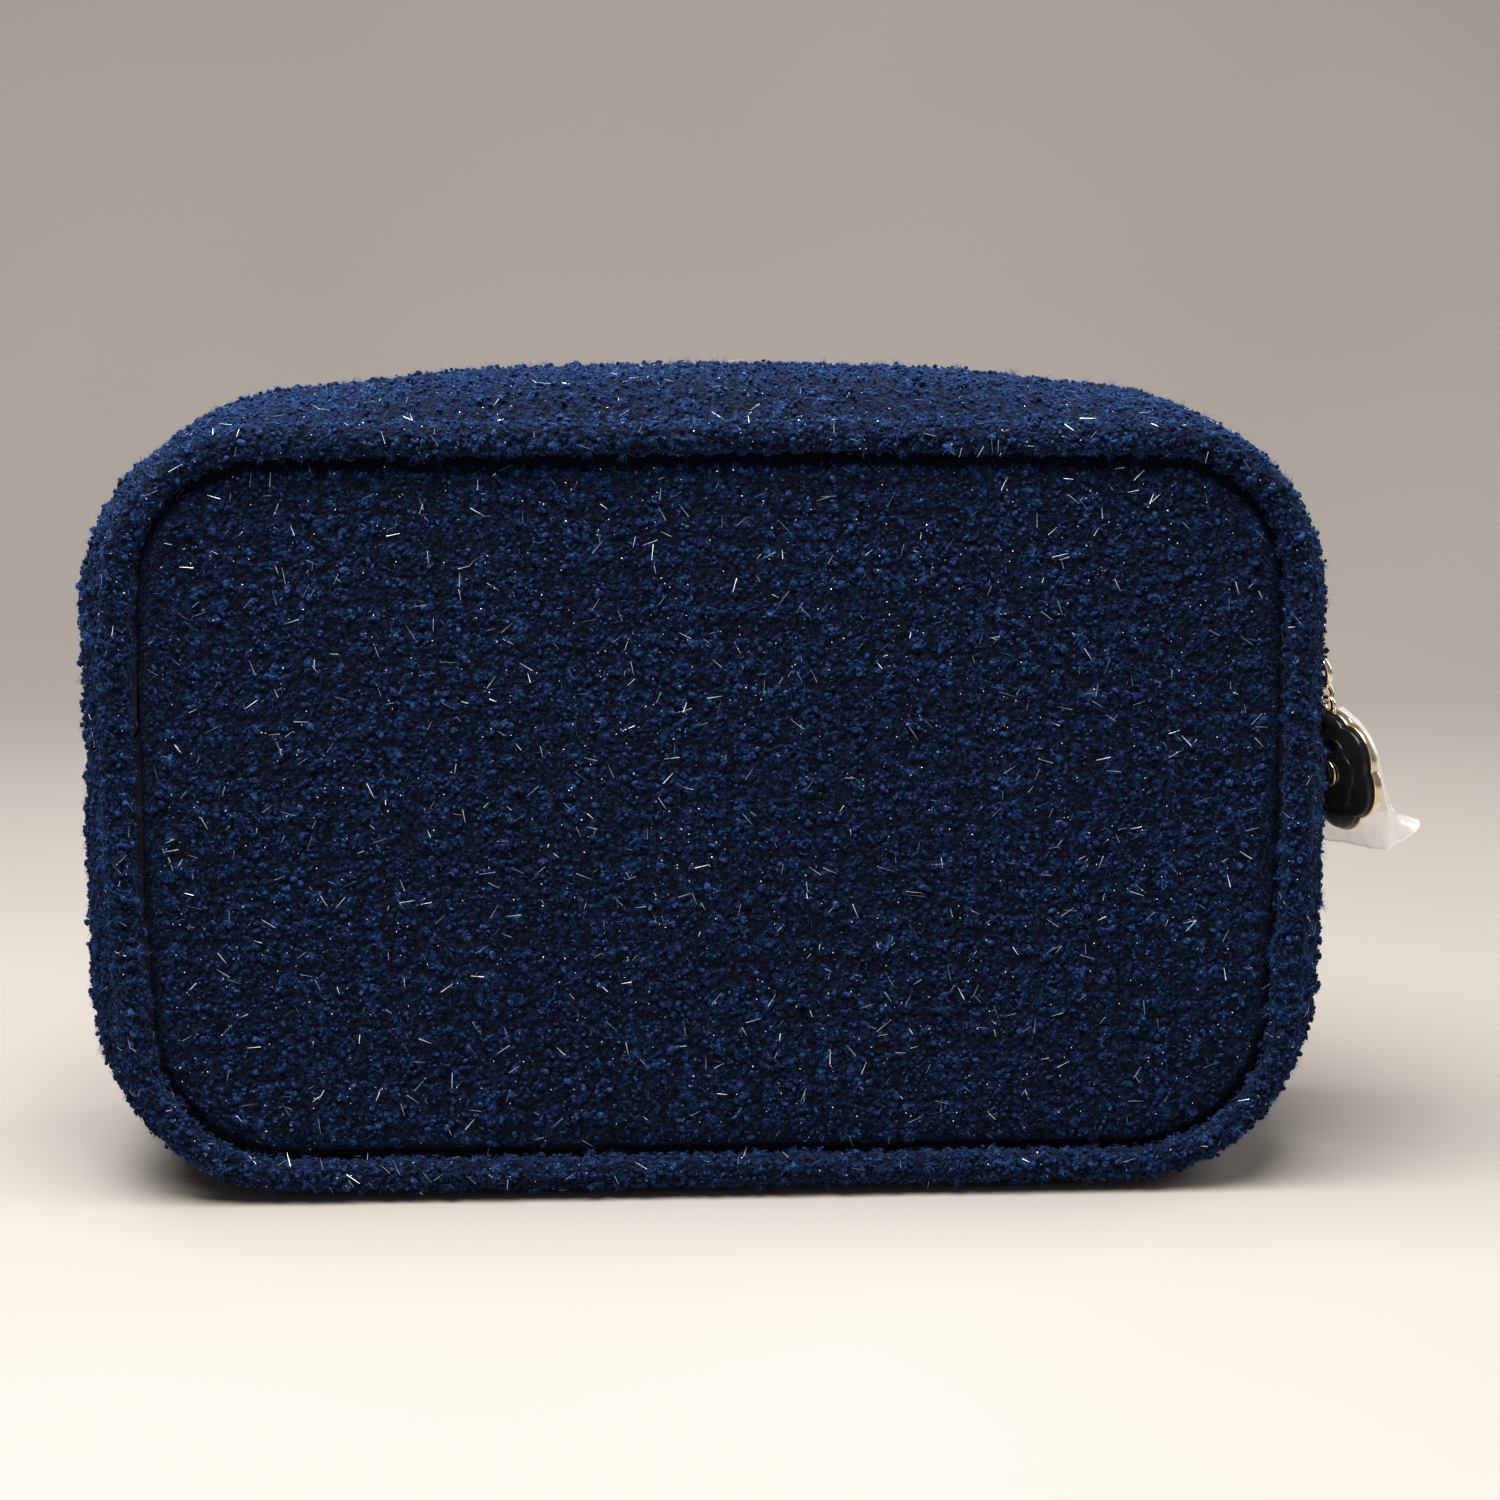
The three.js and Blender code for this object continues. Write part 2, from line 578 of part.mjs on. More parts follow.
// z, half width, back offset, front return
const SLEEVE_ROWS = [
  [-0.6, 3.2, 2.5, 0.6], [-3.0, 8.0, 2.5, 0.6], [-6.0, 11.3, 2.5, 0.6], [-10.0, 13.3, 2.5, 0.6],
  [-15.5, 13.8, 2.6, 0.6], [-20.5, 13.6, 3.6, 0.6], [-24.5, 13.0, 5.8, 0.8],
  [-28.2, 12.0, 9.0, 1.0],
];
// [x, y] from each outer point to its inner one
const SLEEVE_INNER = [
  [-FILM_T, 0], [-FILM_T, -FILM_T], [-FILM_T * 0.3, -FILM_T],
  [0, -FILM_T], [0, -FILM_T], [0.1, -FILM_T],
];

function filmSleeve() {
  return loft(SLEEVE_ROWS.map(([z, width, back, front], row) => {
    const flare = Math.max(row - FLARE_ROW, 0) * FLARE_STEP;
    const outer = [
      [width + flare * 1.4, -front], [width + flare * 1.2, back],
      [width * 0.5 + flare, back + flare * 0.5],
      [0, back], [-width * 0.5, back], [-width, back]];
    const inner = outer.map(([x, y], i) => [x + SLEEVE_INNER[i][0], y + SLEEVE_INNER[i][1]]);
    return [...outer, ...inner.reverse()].map(([x, y]) => vec(x, y, z));
  }));
}
put('film_sleeve', filmSleeve(), 'film', charm);

// The top of the eyelet hangs on the bottom of the link
charm.rotation.set(
  radians(CHARM_TURN.lean), radians(-CHARM_TURN.roll), radians(CHARM_TURN.yaw), 'ZYX');
const eyeTop = vec(0, EYE_Y, EYE_R).applyEuler(charm.rotation);
charm.position.copy(
  along(linkBottom, LINK_DOWN, -(LINK_WIRE + EYE_WIRE + CHAIN_PLAY)).sub(eyeTop));
pouch.add(charm);

export default pouch;
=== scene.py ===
"""A navy boucle tweed pouch with a zip, and a black enamel flower charm in a clear sleeve.

Lengths are in mm unless a comment says metres. X runs across the pouch, the front faces -Y
and the base rests on Z = 0. The zip climbs both sides and crosses the top. Its slider and
charm are on the +X side.
"""
import math
from collections import namedtuple

import bmesh
import bpy
import numpy as np
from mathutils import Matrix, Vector


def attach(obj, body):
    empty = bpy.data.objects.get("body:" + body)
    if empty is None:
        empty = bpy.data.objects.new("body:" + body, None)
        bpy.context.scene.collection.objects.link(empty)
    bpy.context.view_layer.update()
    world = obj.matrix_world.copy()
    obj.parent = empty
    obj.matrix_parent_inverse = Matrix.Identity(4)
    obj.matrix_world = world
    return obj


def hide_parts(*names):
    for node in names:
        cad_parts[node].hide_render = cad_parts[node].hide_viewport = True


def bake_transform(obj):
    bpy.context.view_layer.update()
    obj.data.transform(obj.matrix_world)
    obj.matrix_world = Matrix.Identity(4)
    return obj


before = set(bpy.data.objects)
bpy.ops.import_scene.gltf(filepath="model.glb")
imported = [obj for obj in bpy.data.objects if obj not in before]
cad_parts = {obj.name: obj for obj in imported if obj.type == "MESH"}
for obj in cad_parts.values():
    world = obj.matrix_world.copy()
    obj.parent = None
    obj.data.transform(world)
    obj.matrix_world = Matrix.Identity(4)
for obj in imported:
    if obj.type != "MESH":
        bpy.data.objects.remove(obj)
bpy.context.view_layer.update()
RNG = np.random.default_rng(20240611)
MM = 0.001  # metres

# ---------------------------------------------------------------- shape of the pouch
# Rounded outlines in X and Z, by the +X corner centres: x, z, radius
SEAM_TOP, SEAM_BOTTOM = (85.3, 120.5, 24.2), (82.0, 35.5, 26.5)
CREST_TOP, CREST_BOTTOM = (75.0, 110.5, 46.2), (85.2, 36.0, 36.0)
CENTRE = np.array([0, 0, 77.0])
GUSSET_Y = 34.6       # half depth of the gusset
GUSSET_STOP = 34.7    # end of the depth ranges, just past GUSSET_Y
GUSSET_OUT = 4.8      # gusset edge outside the seam
PIPING_OUT, PIPING_Y, PIPING_RADIUS = 3.6, 37.9, 3.1
ZIP_END_Z = 93.0
COIL_END_Z = 97.0
SIDES = {"front": (-1, "blend"), "back": (1, "root")}  # sign of Y, body it moves with


def outline(top, bottom, grow, side_bulge, top_bulge, line_count, corner_count):
    """Closed outline from the lower +X corner, up, over the top and round.

    Rows are x, z, normal x, normal z, part. Parts 0 to 7 alternate line and corner, and
    their fraction tells how far along the part a point is.
    """
    top_x, top_z, top_radius = top[0], top[1], top[2] + grow
    low_x, low_z, low_radius = bottom[0], bottom[1], bottom[2] + grow
    rows = []

    def line(start, end, count, bulge, part):
        t = np.linspace(0, 1, count, endpoint=False)
        dx, dz = end[0] - start[0], end[1] - start[1]
        length = math.hypot(dx, dz)
        nx, nz = dz / length, -dx / length
        out = bulge * 4 * t * (1 - t)
        rows.append(np.stack([start[0] + dx * t + nx * out, start[1] + dz * t + nz * out,
                              nx + 0 * t, nz + 0 * t, part + t], 1))

    def corner(x, z, radius, start_angle, part):
        t = np.linspace(0, 1, corner_count, endpoint=False)
        a = np.radians(start_angle + 90 * t)
        rows.append(np.stack([x + radius * np.cos(a), z + radius * np.sin(a),
                              np.cos(a), np.sin(a), part + t], 1))

    side_low, side_top = (low_x + low_radius, low_z), (top_x + top_radius, top_z)
    line(side_low, side_top, line_count, side_bulge, 0)
    corner(top_x, top_z, top_radius, 0, 1)
    line((top_x, top_z + top_radius), (-top_x, top_z + top_radius),
         2 * line_count, top_bulge, 2)
    corner(-top_x, top_z, top_radius, 90, 3)
    line((-side_top[0], top_z), (-side_low[0], low_z), line_count, side_bulge, 4)
    corner(-low_x, low_z, low_radius, 180, 5)
    line((-low_x, low_z - low_radius), (low_x, low_z - low_radius), 2 * line_count, 0, 6)
    corner(low_x, low_z, low_radius, 270, 7)
    return np.concatenate(rows)


def seam(grow, line_count, corner_count):
    return outline(SEAM_TOP, SEAM_BOTTOM, grow, 1.2, 0.6, line_count, corner_count)


def crest(line_count, corner_count):
    """The outermost line of the gusset, at Y = 0."""
    return outline(CREST_TOP, CREST_BOTTOM, 0.0, 0.0, 3.3, line_count, corner_count)


# ---------------------------------------------------------------- tweed relief
TABLES = [RNG.random((256, 256)) for _ in range(8)]


def bumps(u, v, cell, table, length, width, spread):
    """Oval bumps, one per jittered cell: height 0..1, and a value constant in each bump."""
    cell_u, cell_v = np.floor(u / cell).astype(int), np.floor(v / cell).astype(int)
    height = np.zeros_like(u)
    value = np.zeros_like(u)
    shift_u, shift_v, turn, vary = (TABLES[(table + i) % 8] for i in range(4))
    for du in (-1, 0, 1):
        for dv in (-1, 0, 1):
            i, j = (cell_u + du) % 256, (cell_v + dv) % 256
            centre_u = (cell_u + du + 0.5 + (shift_u[i, j] - 0.5) * 0.8) * cell
            centre_v = (cell_v + dv + 0.5 + (shift_v[i, j] - 0.5) * 0.8) * cell
            angle = np.where(turn[i, j] > 0.5, 0.0, math.pi / 2) + (vary[i, j] - 0.5) * spread
            size = 0.75 + 0.5 * turn[j, i]
            x, y = u - centre_u, v - centre_v
            oval = (((x * np.cos(angle) + y * np.sin(angle)) / (length * size)) ** 2
                    + ((-x * np.sin(angle) + y * np.cos(angle)) / (width * size)) ** 2)
            rise = np.sqrt(np.clip(1 - oval, 0, 1)) * (0.55 + 0.45 * vary[j, i])
            higher = rise > height
            height = np.where(higher, rise, height)
            value = np.where(higher, shift_v[j, i], value)
    return height, value


def noise(u, v, cell, table):
    """Smooth value noise, 0..1."""
    x, y = u / cell, v / cell
    i, j = np.floor(x).astype(int), np.floor(y).astype(int)
    fx, fy = x - i, y - j
    fx, fy = fx * fx * (3 - 2 * fx), fy * fy * (3 - 2 * fy)
    values = TABLES[table % 8]

    def at(p, q):
        return values[p % 256, q % 256]

    return ((at(i, j) * (1 - fx) + at(i + 1, j) * fx) * (1 - fy)
            + (at(i, j + 1) * (1 - fx) + at(i + 1, j + 1) * fx) * fy)


def yarn_weight(u, v):
    """1 where the thicker yarns cross, which is every 5.5 mm, and 0 between them."""
    return 0.5 + 0.25 * (np.cos(2 * np.pi * u / 5.5) + np.cos(2 * np.pi * v / 5.5))


def tweed(u, v, table, rough):
    """Tufts over slubs running both ways: height in mm, tip value 0..1 and hue 0..1."""
    wu = u + 0.6 * (noise(u, v, 6.0, table) - 0.5) * 2
    wv = v + 0.6 * (noise(u, v, 6.0, table + 1) - 0.5) * 2
    big, big_hue = bumps(wu, wv, 2.75, table, length=1.7, width=1.0, spread=1.2)
    mid, mid_hue = bumps(wu + 3.1, wv + 1.7, 1.35, table + 2, length=0.82, width=0.5, spread=2.2)
    small, small_hue = bumps(wu, wv, 0.85, table + 4, length=0.5, width=0.34, spread=3.0)
    patch = noise(u, v, 3.4, table + 3) - 0.5
    slub = np.clip(big * (0.3 + 0.75 * yarn_weight(wu, wv) + 1.1 * patch), 0, 1.1)
    height = 0.42 * slub + 0.46 * mid + 0.34 * small + 0.16 * noise(u, v, 0.6, table + 5)
    tip = np.clip(0.34 * slub + 0.48 * mid + 0.42 * small - 0.05, 0, 1)
    tuft_hue = 0.75 * np.where(mid > small, mid_hue, small_hue)
    return height * rough, tip, np.where(slub > 0.45, 0.55 + 0.45 * big_hue, tuft_hue)


# ---------------------------------------------------------------- mesh helpers
def make_mesh(name, points, *face_groups, **attributes):
    """A smooth object from points in mm, arrays of faces and values for each point."""
    mesh = bpy.data.meshes.new(name)
    points = np.asarray(points, dtype=np.float32)
    mesh.vertices.add(len(points))
    mesh.vertices.foreach_set("co", (points * MM).ravel())
    groups = [np.asarray(group, dtype=np.int32) for group in face_groups]
    loops = np.concatenate([group.ravel() for group in groups])
    totals = np.concatenate([np.full(len(g), g.shape[1], dtype=np.int32) for g in groups])
    starts = np.concatenate([[0], np.cumsum(totals)[:-1]]).astype(np.int32)
    mesh.loops.add(len(loops))
    mesh.loops.foreach_set("vertex_index", loops)
    mesh.polygons.add(len(totals))
    mesh.polygons.foreach_set("loop_start", starts)
    mesh.polygons.foreach_set("loop_total", totals)
    mesh.update(calc_edges=True)
    mesh.validate()
    mesh.polygons.foreach_set("use_smooth", np.ones(len(mesh.polygons), dtype=bool))
    for key, values in attributes.items():
        layer = mesh.attributes.new(key, "FLOAT", "POINT")
        layer.data.foreach_set("value", np.asarray(values, dtype=np.float32).ravel())
    return add_object(name, mesh)


def add_object(name, data):
    ob = bpy.data.objects.new(name, data)
    bpy.context.collection.objects.link(ob)
    return ob


def quads(nu, nv, closed_u=False, closed_v=False, mask=None):
    """Faces of a grid of nu by nv points."""
    iu = np.arange(nu if closed_u else nu - 1)
    iv = np.arange(nv if closed_v else nv - 1)
    i, j = np.meshgrid(iu, iv, indexing="ij")
    i1, j1 = (i + 1) % nu, (j + 1) % nv
    faces = np.stack([i * nv + j, i1 * nv + j, i1 * nv + j1, i * nv + j1], -1)
    if mask is not None:
        faces = faces[mask]
    return faces.reshape(-1, 4)


def caps(rows, sides):
    """Fans closing both ends of a tube, round two centre points that follow its rows."""
    k = np.arange(sides)
    k1, last = (k + 1) % sides, (rows - 1) * sides
    return np.concatenate([np.stack([k, k1, 0 * k + rows * sides], 1),
                           np.stack([last + k1, last + k, 0 * k + rows * sides + 1], 1)])


def grid_normals(points, closed_u=False, closed_v=False):
    def slope(axis, closed):
        if closed:
            return np.roll(points, -1, axis) - np.roll(points, 1, axis)
        return np.gradient(points, axis=axis)
    normals = np.cross(slope(0, closed_u), slope(1, closed_v))
    return normals / np.maximum(np.linalg.norm(normals, axis=-1, keepdims=True), 1e-9)


def outward(points, normals, centre):
    """Turn the normals to point away from centre."""
    return normals if ((points - centre) * normals).sum(-1).mean() > 0 else -normals


def lengths_along(points):
    return np.concatenate([[0], np.cumsum(np.linalg.norm(np.diff(points, axis=0), axis=1))])


def resample(rows, lengths, at):
    """The first four columns of an outline, read at other lengths along it."""
    return np.stack([np.interp(at, lengths, rows[:, i]) for i in range(4)], 1)


def columns(rows):
    return (rows[:, i:i + 1] for i in range(4))


# ---------------------------------------------------------------- base surfaces
def gusset_surface(part, ys, depth, step):
    """Gusset points (along, ys, 3) set in by depth, and their lengths along the crest."""
    seam_rows, crest_rows = seam(GUSSET_OUT, 240, 160), crest(240, 160)
    place = seam_rows[:, 4]
    # the zip ends part way up the sides, which are parts 0 and 4 of the outline
    end = (ZIP_END_Z - SEAM_BOTTOM[1]) / (SEAM_TOP[1] - SEAM_BOTTOM[1])
    if part == "upper":
        chosen = np.flatnonzero((place >= end) & (place <= 5 - end))
    else:
        chosen = np.concatenate([np.flatnonzero(place >= 5 - end),
                                 np.flatnonzero(place <= end)])
    seam_rows, crest_rows = seam_rows[chosen], crest_rows[chosen]
    lengths = lengths_along(crest_rows[:, :2])
    count = int(lengths[-1] / step) + 1
    t = np.linspace(0, lengths[-1], count)
    sx, sz, snx, snz = columns(resample(seam_rows, lengths, t))
    cx, cz, cnx, cnz = columns(resample(crest_rows, lengths, t))
    y = np.asarray(ys)[None, :]
    # round section from seam to crest, but flat in the middle where it rests on the table
    round_section = 1 - np.abs(y / GUSSET_Y) ** 4.5
    flat_edge = 1 - np.clip((np.abs(y) - 22) / (GUSSET_Y - 22), 0, 1) ** 2
    flat_section = np.where(np.abs(y) <= 22, 1.0, flat_edge)
    base = np.clip((-snz - 0.2) / 0.8, 0, 1) if part == "lower" else np.zeros((count, 1))
    base = base * base * (3 - 2 * base)
    k = (1 - base) * round_section + base * flat_section
    nx = snx + (cnx - snx) * k
    nz = snz + (cnz - snz) * k
    size = np.hypot(nx, nz)
    # the padding fills out the shoulders on the upright sides
    fat = (1.5 * np.exp(-((np.abs(y) - 21.0) / 8.0) ** 2) * np.clip(np.abs(snx), 0, 1) ** 2
           * np.clip((sz - 12) / 30, 0, 1) * np.where(snx > 0, 0.75, 1.0))
    # and squares the upper corners a little, while the crest falls away towards them
    fat = fat + (1.3 * np.exp(-((sz - 137) / 11.0) ** 2)
                 * np.clip(np.abs(snx), 0, 1) * round_section)
    fat = fat - (1.3 * np.exp(-((np.abs(sx) - 88) / 20.0) ** 2)
                 * np.clip(snz, 0, 1) ** 3 * round_section)
    x = sx + (cx - sx) * k + nx / size * (fat - depth)
    z = sz + (cz - sz) * k + nz / size * (fat - depth)
    return np.stack([x, np.broadcast_to(y, x.shape), z], -1), t


def inside_distance(x, z, loop):
    """Distance from the outline's points, positive inside."""
    nearest = np.full(x.shape, 1e9)
    inside = np.zeros(x.shape, dtype=bool)
    for (ax, az), (bx, bz) in zip(loop[:, :2], np.roll(loop[:, :2], 1, axis=0)):
        nearest = np.minimum(nearest, (x - ax) ** 2 + (z - az) ** 2)
        if az != bz:
            inside ^= ((az > z) != (bz > z)) & (x < (bx - ax) * (z - az) / (bz - az) + ax)
    return np.where(inside, 1, -1) * np.sqrt(nearest)


def bilinear(values, grid_x, grid_z, x, z):
    """Read values, held on an even grid, at x and z."""
    fx = np.clip((x - grid_x[0]) / (grid_x[1] - grid_x[0]), 0, len(grid_x) - 1.001)
    fz = np.clip((z - grid_z[0]) / (grid_z[1] - grid_z[0]), 0, len(grid_z) - 1.001)
    i, j = fx.astype(int), fz.astype(int)
    u, v = fx - i, fz - j
    return ((values[i, j] * (1 - u) + values[i + 1, j] * u) * (1 - v)
            + (values[i, j + 1] * (1 - u) + values[i + 1, j + 1] * u) * v)


def inflate_panel(x, z, inset):
    """Blow out a coarse cloth sheet held along its seam. Returns its crown, about 0..1."""
    last_frame = 20
    points = np.stack([x, 0 * x, z], -1).reshape(-1, 3)
    mesh = bpy.data.meshes.new("panel_sim")
    mesh.from_pydata((points * MM).tolist(), [], quads(*x.shape).tolist())
    ob = add_object("panel_sim", mesh)
    group = ob.vertex_groups.new(name="pin")
    group.add([int(i) for i in np.where(inset.ravel() < 2.0)[0]], 1.0, "REPLACE")
    cloth = ob.modifiers.new("Cloth", "CLOTH")
    settings = cloth.settings
    settings.quality = 6
    settings.mass = 0.25
    settings.tension_stiffness = 12
    settings.compression_stiffness = 12
    settings.shear_stiffness = 6
    settings.bending_stiffness = 2.0
    settings.use_pressure = True
    settings.uniform_pressure_force = 4.0
    settings.vertex_group_mass = "pin"
    settings.effector_weights.gravity = 0
    cloth.collision_settings.use_collision = False
    scene = bpy.context.scene
    scene.frame_start, scene.frame_end = 1, last_frame
    cloth.point_cache.frame_start, cloth.point_cache.frame_end = 1, last_frame
    for number in range(1, last_frame + 1):
        scene.frame_set(number)
    evaluated = ob.evaluated_get(bpy.context.evaluated_depsgraph_get())
    blown = evaluated.to_mesh()
    crown = np.empty(len(blown.vertices) * 3, dtype=np.float32)
    blown.vertices.foreach_get("co", crown)
    evaluated.to_mesh_clear()
    crown = np.abs(crown.reshape(*x.shape, 3)[..., 1] / MM)
    bpy.data.objects.remove(ob)
    scene.frame_set(1)
    top = np.quantile(crown[inset > -4], 0.99)
    # a simulation that blew up or never moved gives no crown
    if not np.isfinite(top) or top < 1e-3:
        return None
    return crown / top


# ---------------------------------------------------------------- materials
class Shader:
    """A material with its Principled BSDF, and short ways to add nodes to it."""

    def __init__(self, name):
        self.material = bpy.data.materials.new(name)
        self.material.use_nodes = True
        self.tree = self.material.node_tree
        self.bsdf = self.tree.nodes["Principled BSDF"]

    def feed(self, node, inputs):
        """Set or link inputs, given as {socket name or index: value or output socket}."""
        for key, value in inputs.items():
            if isinstance(value, bpy.types.NodeSocket):
                self.tree.links.new(value, node.inputs[key])
            else:
                node.inputs[key].default_value = value

    def surface(self, inputs):
        self.feed(self.bsdf, inputs)

    def node(self, kind, inputs, **settings):
        node = self.tree.nodes.new(kind)
        for key, value in settings.items():
            setattr(node, key, value)
        self.feed(node, inputs)
        return node.outputs

    def ramp(self, factor, stops):
        """Colour ramp with stops of (position, linear RGB)."""
        node = self.tree.nodes.new("ShaderNodeValToRGB")
        elements = node.color_ramp.elements
        while len(elements) < len(stops):
            elements.new(0.5)
        for element, (position, color) in zip(elements, stops):
            element.position = position
            element.color = (*color, 1)
        self.feed(node, {0: factor})
        return node.outputs[0]

    def attribute(self, name):
        return self.node("ShaderNodeAttribute", {}, attribute_name=name)["Fac"]

    def position(self):
        return self.node("ShaderNodeTexCoord", {})["Object"]

    def noise(self, scale, detail=3, roughness=0.6):
        return self.node("ShaderNodeTexNoise", {
            "Scale": scale, "Detail": detail, "Roughness": roughness,
            "Vector": self.position()})["Fac"]

    def calc(self, operation, a, b, clamp=False):
        return self.node("ShaderNodeMath", {0: a, 1: b}, operation=operation,
                         use_clamp=clamp)[0]

    def scaled_noise(self, scale, detail, amount, base):
        """Noise times amount, plus base."""
        return self.calc("ADD", self.calc("MULTIPLY", self.noise(scale, detail), amount), base)

    def multiply_colors(self, a, b):
        # inputs: factor and the two colours; output 2 is the colour
        return self.node("ShaderNodeMix", {0: 1.0, 6: a, 7: b}, data_type="RGBA",
                         blend_type="MULTIPLY")[2]

    def bump(self, height, strength, distance):
        normal = self.node("ShaderNodeBump", {
            "Strength": strength, "Distance": distance, "Height": height})[0]
        self.surface({"Normal": normal})


def round_tufts(shader, scale, warp):
    """Close-packed small round tufts, 1 at the tips and 0 in the gaps."""
    position = shader.position()
    wander = shader.node("ShaderNodeTexNoise", {
        "Scale": scale * 0.9, "Detail": 2, "Vector": position})["Color"]
    offset = shader.node("ShaderNodeVectorMath", {0: wander, "Scale": warp},
                         operation="SCALE")["Vector"]
    warped = shader.node("ShaderNodeVectorMath", {0: position, 1: offset},
                         operation="ADD")["Vector"]
    distance = shader.node("ShaderNodeTexVoronoi", {"Scale": scale, "Vector": warped},
                           feature="F1")["Distance"]
    return shader.calc("SUBTRACT", 1.0, shader.calc("MULTIPLY", distance, 1.25), clamp=True)


def tweed_material():
    shader = Shader("navy_boucle_tweed")
    tip = shader.attribute("tip")
    hue = shader.attribute("hue")
    fine = shader.noise(2600, detail=4, roughness=0.7)
    tufts = round_tufts(shader, scale=1350, warp=0.0007)
    height = shader.calc(
        "ADD", shader.calc("MULTIPLY", tip, 0.8),
        shader.calc("MULTIPLY", shader.calc("SUBTRACT", fine, 0.5), 0.5), clamp=True)
    # painted shade and light: dark in the gaps, bright at the tips, following the pile height
    color = shader.ramp(height, [
        (0.0, (0.0005, 0.0012, 0.004)), (0.22, (0.0014, 0.0047, 0.017)),
        (0.42, (0.0047, 0.0200, 0.070)), (0.62, (0.0115, 0.050, 0.170)),
        (1.0, (0.034, 0.120, 0.335))])
    # painted shade between the round tufts and painted light on their crowns
    color = shader.multiply_colors(color, shader.ramp(tufts, [
        (0.0, (0.10, 0.10, 0.12)), (0.45, (0.55, 0.56, 0.6)),
        (0.8, (1.25, 1.25, 1.22)), (1.0, (1.6, 1.55, 1.45))]))
    # tone of each yarn, then broad cloudy patches
    tone = shader.ramp(hue, [
        (0.0, (0.42, 0.46, 0.55)), (0.4, (0.72, 0.76, 0.85)),
        (0.75, (1.05, 1.08, 1.1)), (1.0, (1.75, 1.72, 1.6))])
    tone = shader.multiply_colors(tone, shader.ramp(shader.noise(210), [
        (0.3, (0.72, 0.74, 0.8)), (0.55, (1.0, 1.0, 1.0)), (0.75, (1.5, 1.45, 1.35))]))
    shader.surface({
        "Base Color": shader.multiply_colors(color, tone), "Roughness": 0.95,
        "Specular IOR Level": 0.10, "Sheen Weight": 0.10, "Sheen Roughness": 0.5,
        "Sheen Tint": (0.25, 0.42, 0.95, 1)})
    shader.bump(shader.calc("ADD", tufts, shader.calc("MULTIPLY", fine, 0.5)),
                strength=1.0, distance=0.0005)
    return shader.material


def fibre_material():
    shader = Shader("navy_yarn_fibre")
    shader.surface({
        "Base Color": shader.ramp(shader.attribute("hue"), [
            (0.0, (0.0014, 0.0055, 0.02)), (0.4, (0.0052, 0.0225, 0.084)),
            (0.75, (0.0155, 0.064, 0.215)), (1.0, (0.046, 0.145, 0.39))]),
        "Roughness": 0.8, "Specular IOR Level": 0.12, "Sheen Weight": 0.10,
        "Sheen Tint": (0.4, 0.55, 1, 1)})
    shader.bump(shader.noise(6000, detail=2), strength=0.4, distance=0.0001)
    return shader.material


def lurex_material():
    shader = Shader("silver_lurex")
    hue = shader.attribute("hue")
    shader.surface({
        "Base Color": shader.ramp(hue, [
            (0.0, (0.12, 0.18, 0.30)), (0.45, (0.30, 0.38, 0.50)),
            (0.8, (0.62, 0.68, 0.76)), (1.0, (0.97, 0.97, 0.95))]),
        "Metallic": 0.55,
        "Roughness": shader.scaled_noise(3000, 2, amount=0.25, base=0.25),
        # painted glints: the brightest pieces glow, standing in for reflections of the lamps
        "Emission Color": shader.ramp(hue, [
            (0.0, (0, 0, 0)), (0.55, (0.015, 0.02, 0.03)),
            (0.85, (0.22, 0.26, 0.32)), (1.0, (0.7, 0.78, 0.9))]),
        "Emission Strength": 0.8})
    return shader.material


def cloth_material(name, dark, light, scale, roughness, sheen):
    """Plain woven cloth: crossed fine bands."""
    shader = Shader(name)
    position = shader.position()
    band_x, band_z, band_y = (
        shader.node("ShaderNodeTexWave", {
            "Scale": scale, "Distortion": 0.6, "Detail": 1, "Vector": position},
            wave_type="BANDS", bands_direction=axis)["Fac"]
        for axis in ("X", "Z", "Y"))
    height = shader.calc("MULTIPLY", shader.calc("ADD", band_x, band_z), 0.4)
    height = shader.calc("ADD", height, shader.calc("MULTIPLY", band_y, 0.2))
    height = shader.calc("ADD", height, shader.calc("MULTIPLY", shader.noise(900), 0.35))
    shader.surface({"Base Color": shader.ramp(height, [(0.15, dark), (0.85, light)]),
                    "Roughness": roughness, "Sheen Weight": sheen})
    shader.bump(height, strength=0.6, distance=0.00025)
    return shader.material


def gold_material():
    shader = Shader("polished_gold")
    shader.surface({
        "Base Color": shader.ramp(shader.noise(420, detail=4), [
            (0.25, (0.86, 0.70, 0.43)), (0.75, (0.95, 0.81, 0.56))]),
        "Metallic": 1.0,
        "Roughness": shader.scaled_noise(1500, 3, amount=0.14, base=0.07)})
    shader.bump(shader.noise(2200, detail=2), strength=0.05, distance=0.0001)
    return shader.material


def enamel_material():
    shader = Shader("black_enamel")
    shader.surface({
        "Base Color": shader.ramp(shader.noise(300), [
            (0.2, (0.0018, 0.0018, 0.002)), (0.8, (0.0032, 0.0032, 0.004))]),
        "Roughness": 0.07, "Specular IOR Level": 0.25})
    return shader.material


def steel_material():
    shader = Shader("spring_steel")
    shader.surface({
        "Base Color": shader.ramp(shader.noise(900), [
            (0.2, (0.42, 0.42, 0.44)), (0.8, (0.6, 0.6, 0.61))]),
        "Metallic": 1.0,
        "Roughness": shader.scaled_noise(2500, 2, amount=0.2, base=0.25)})
    return shader.material


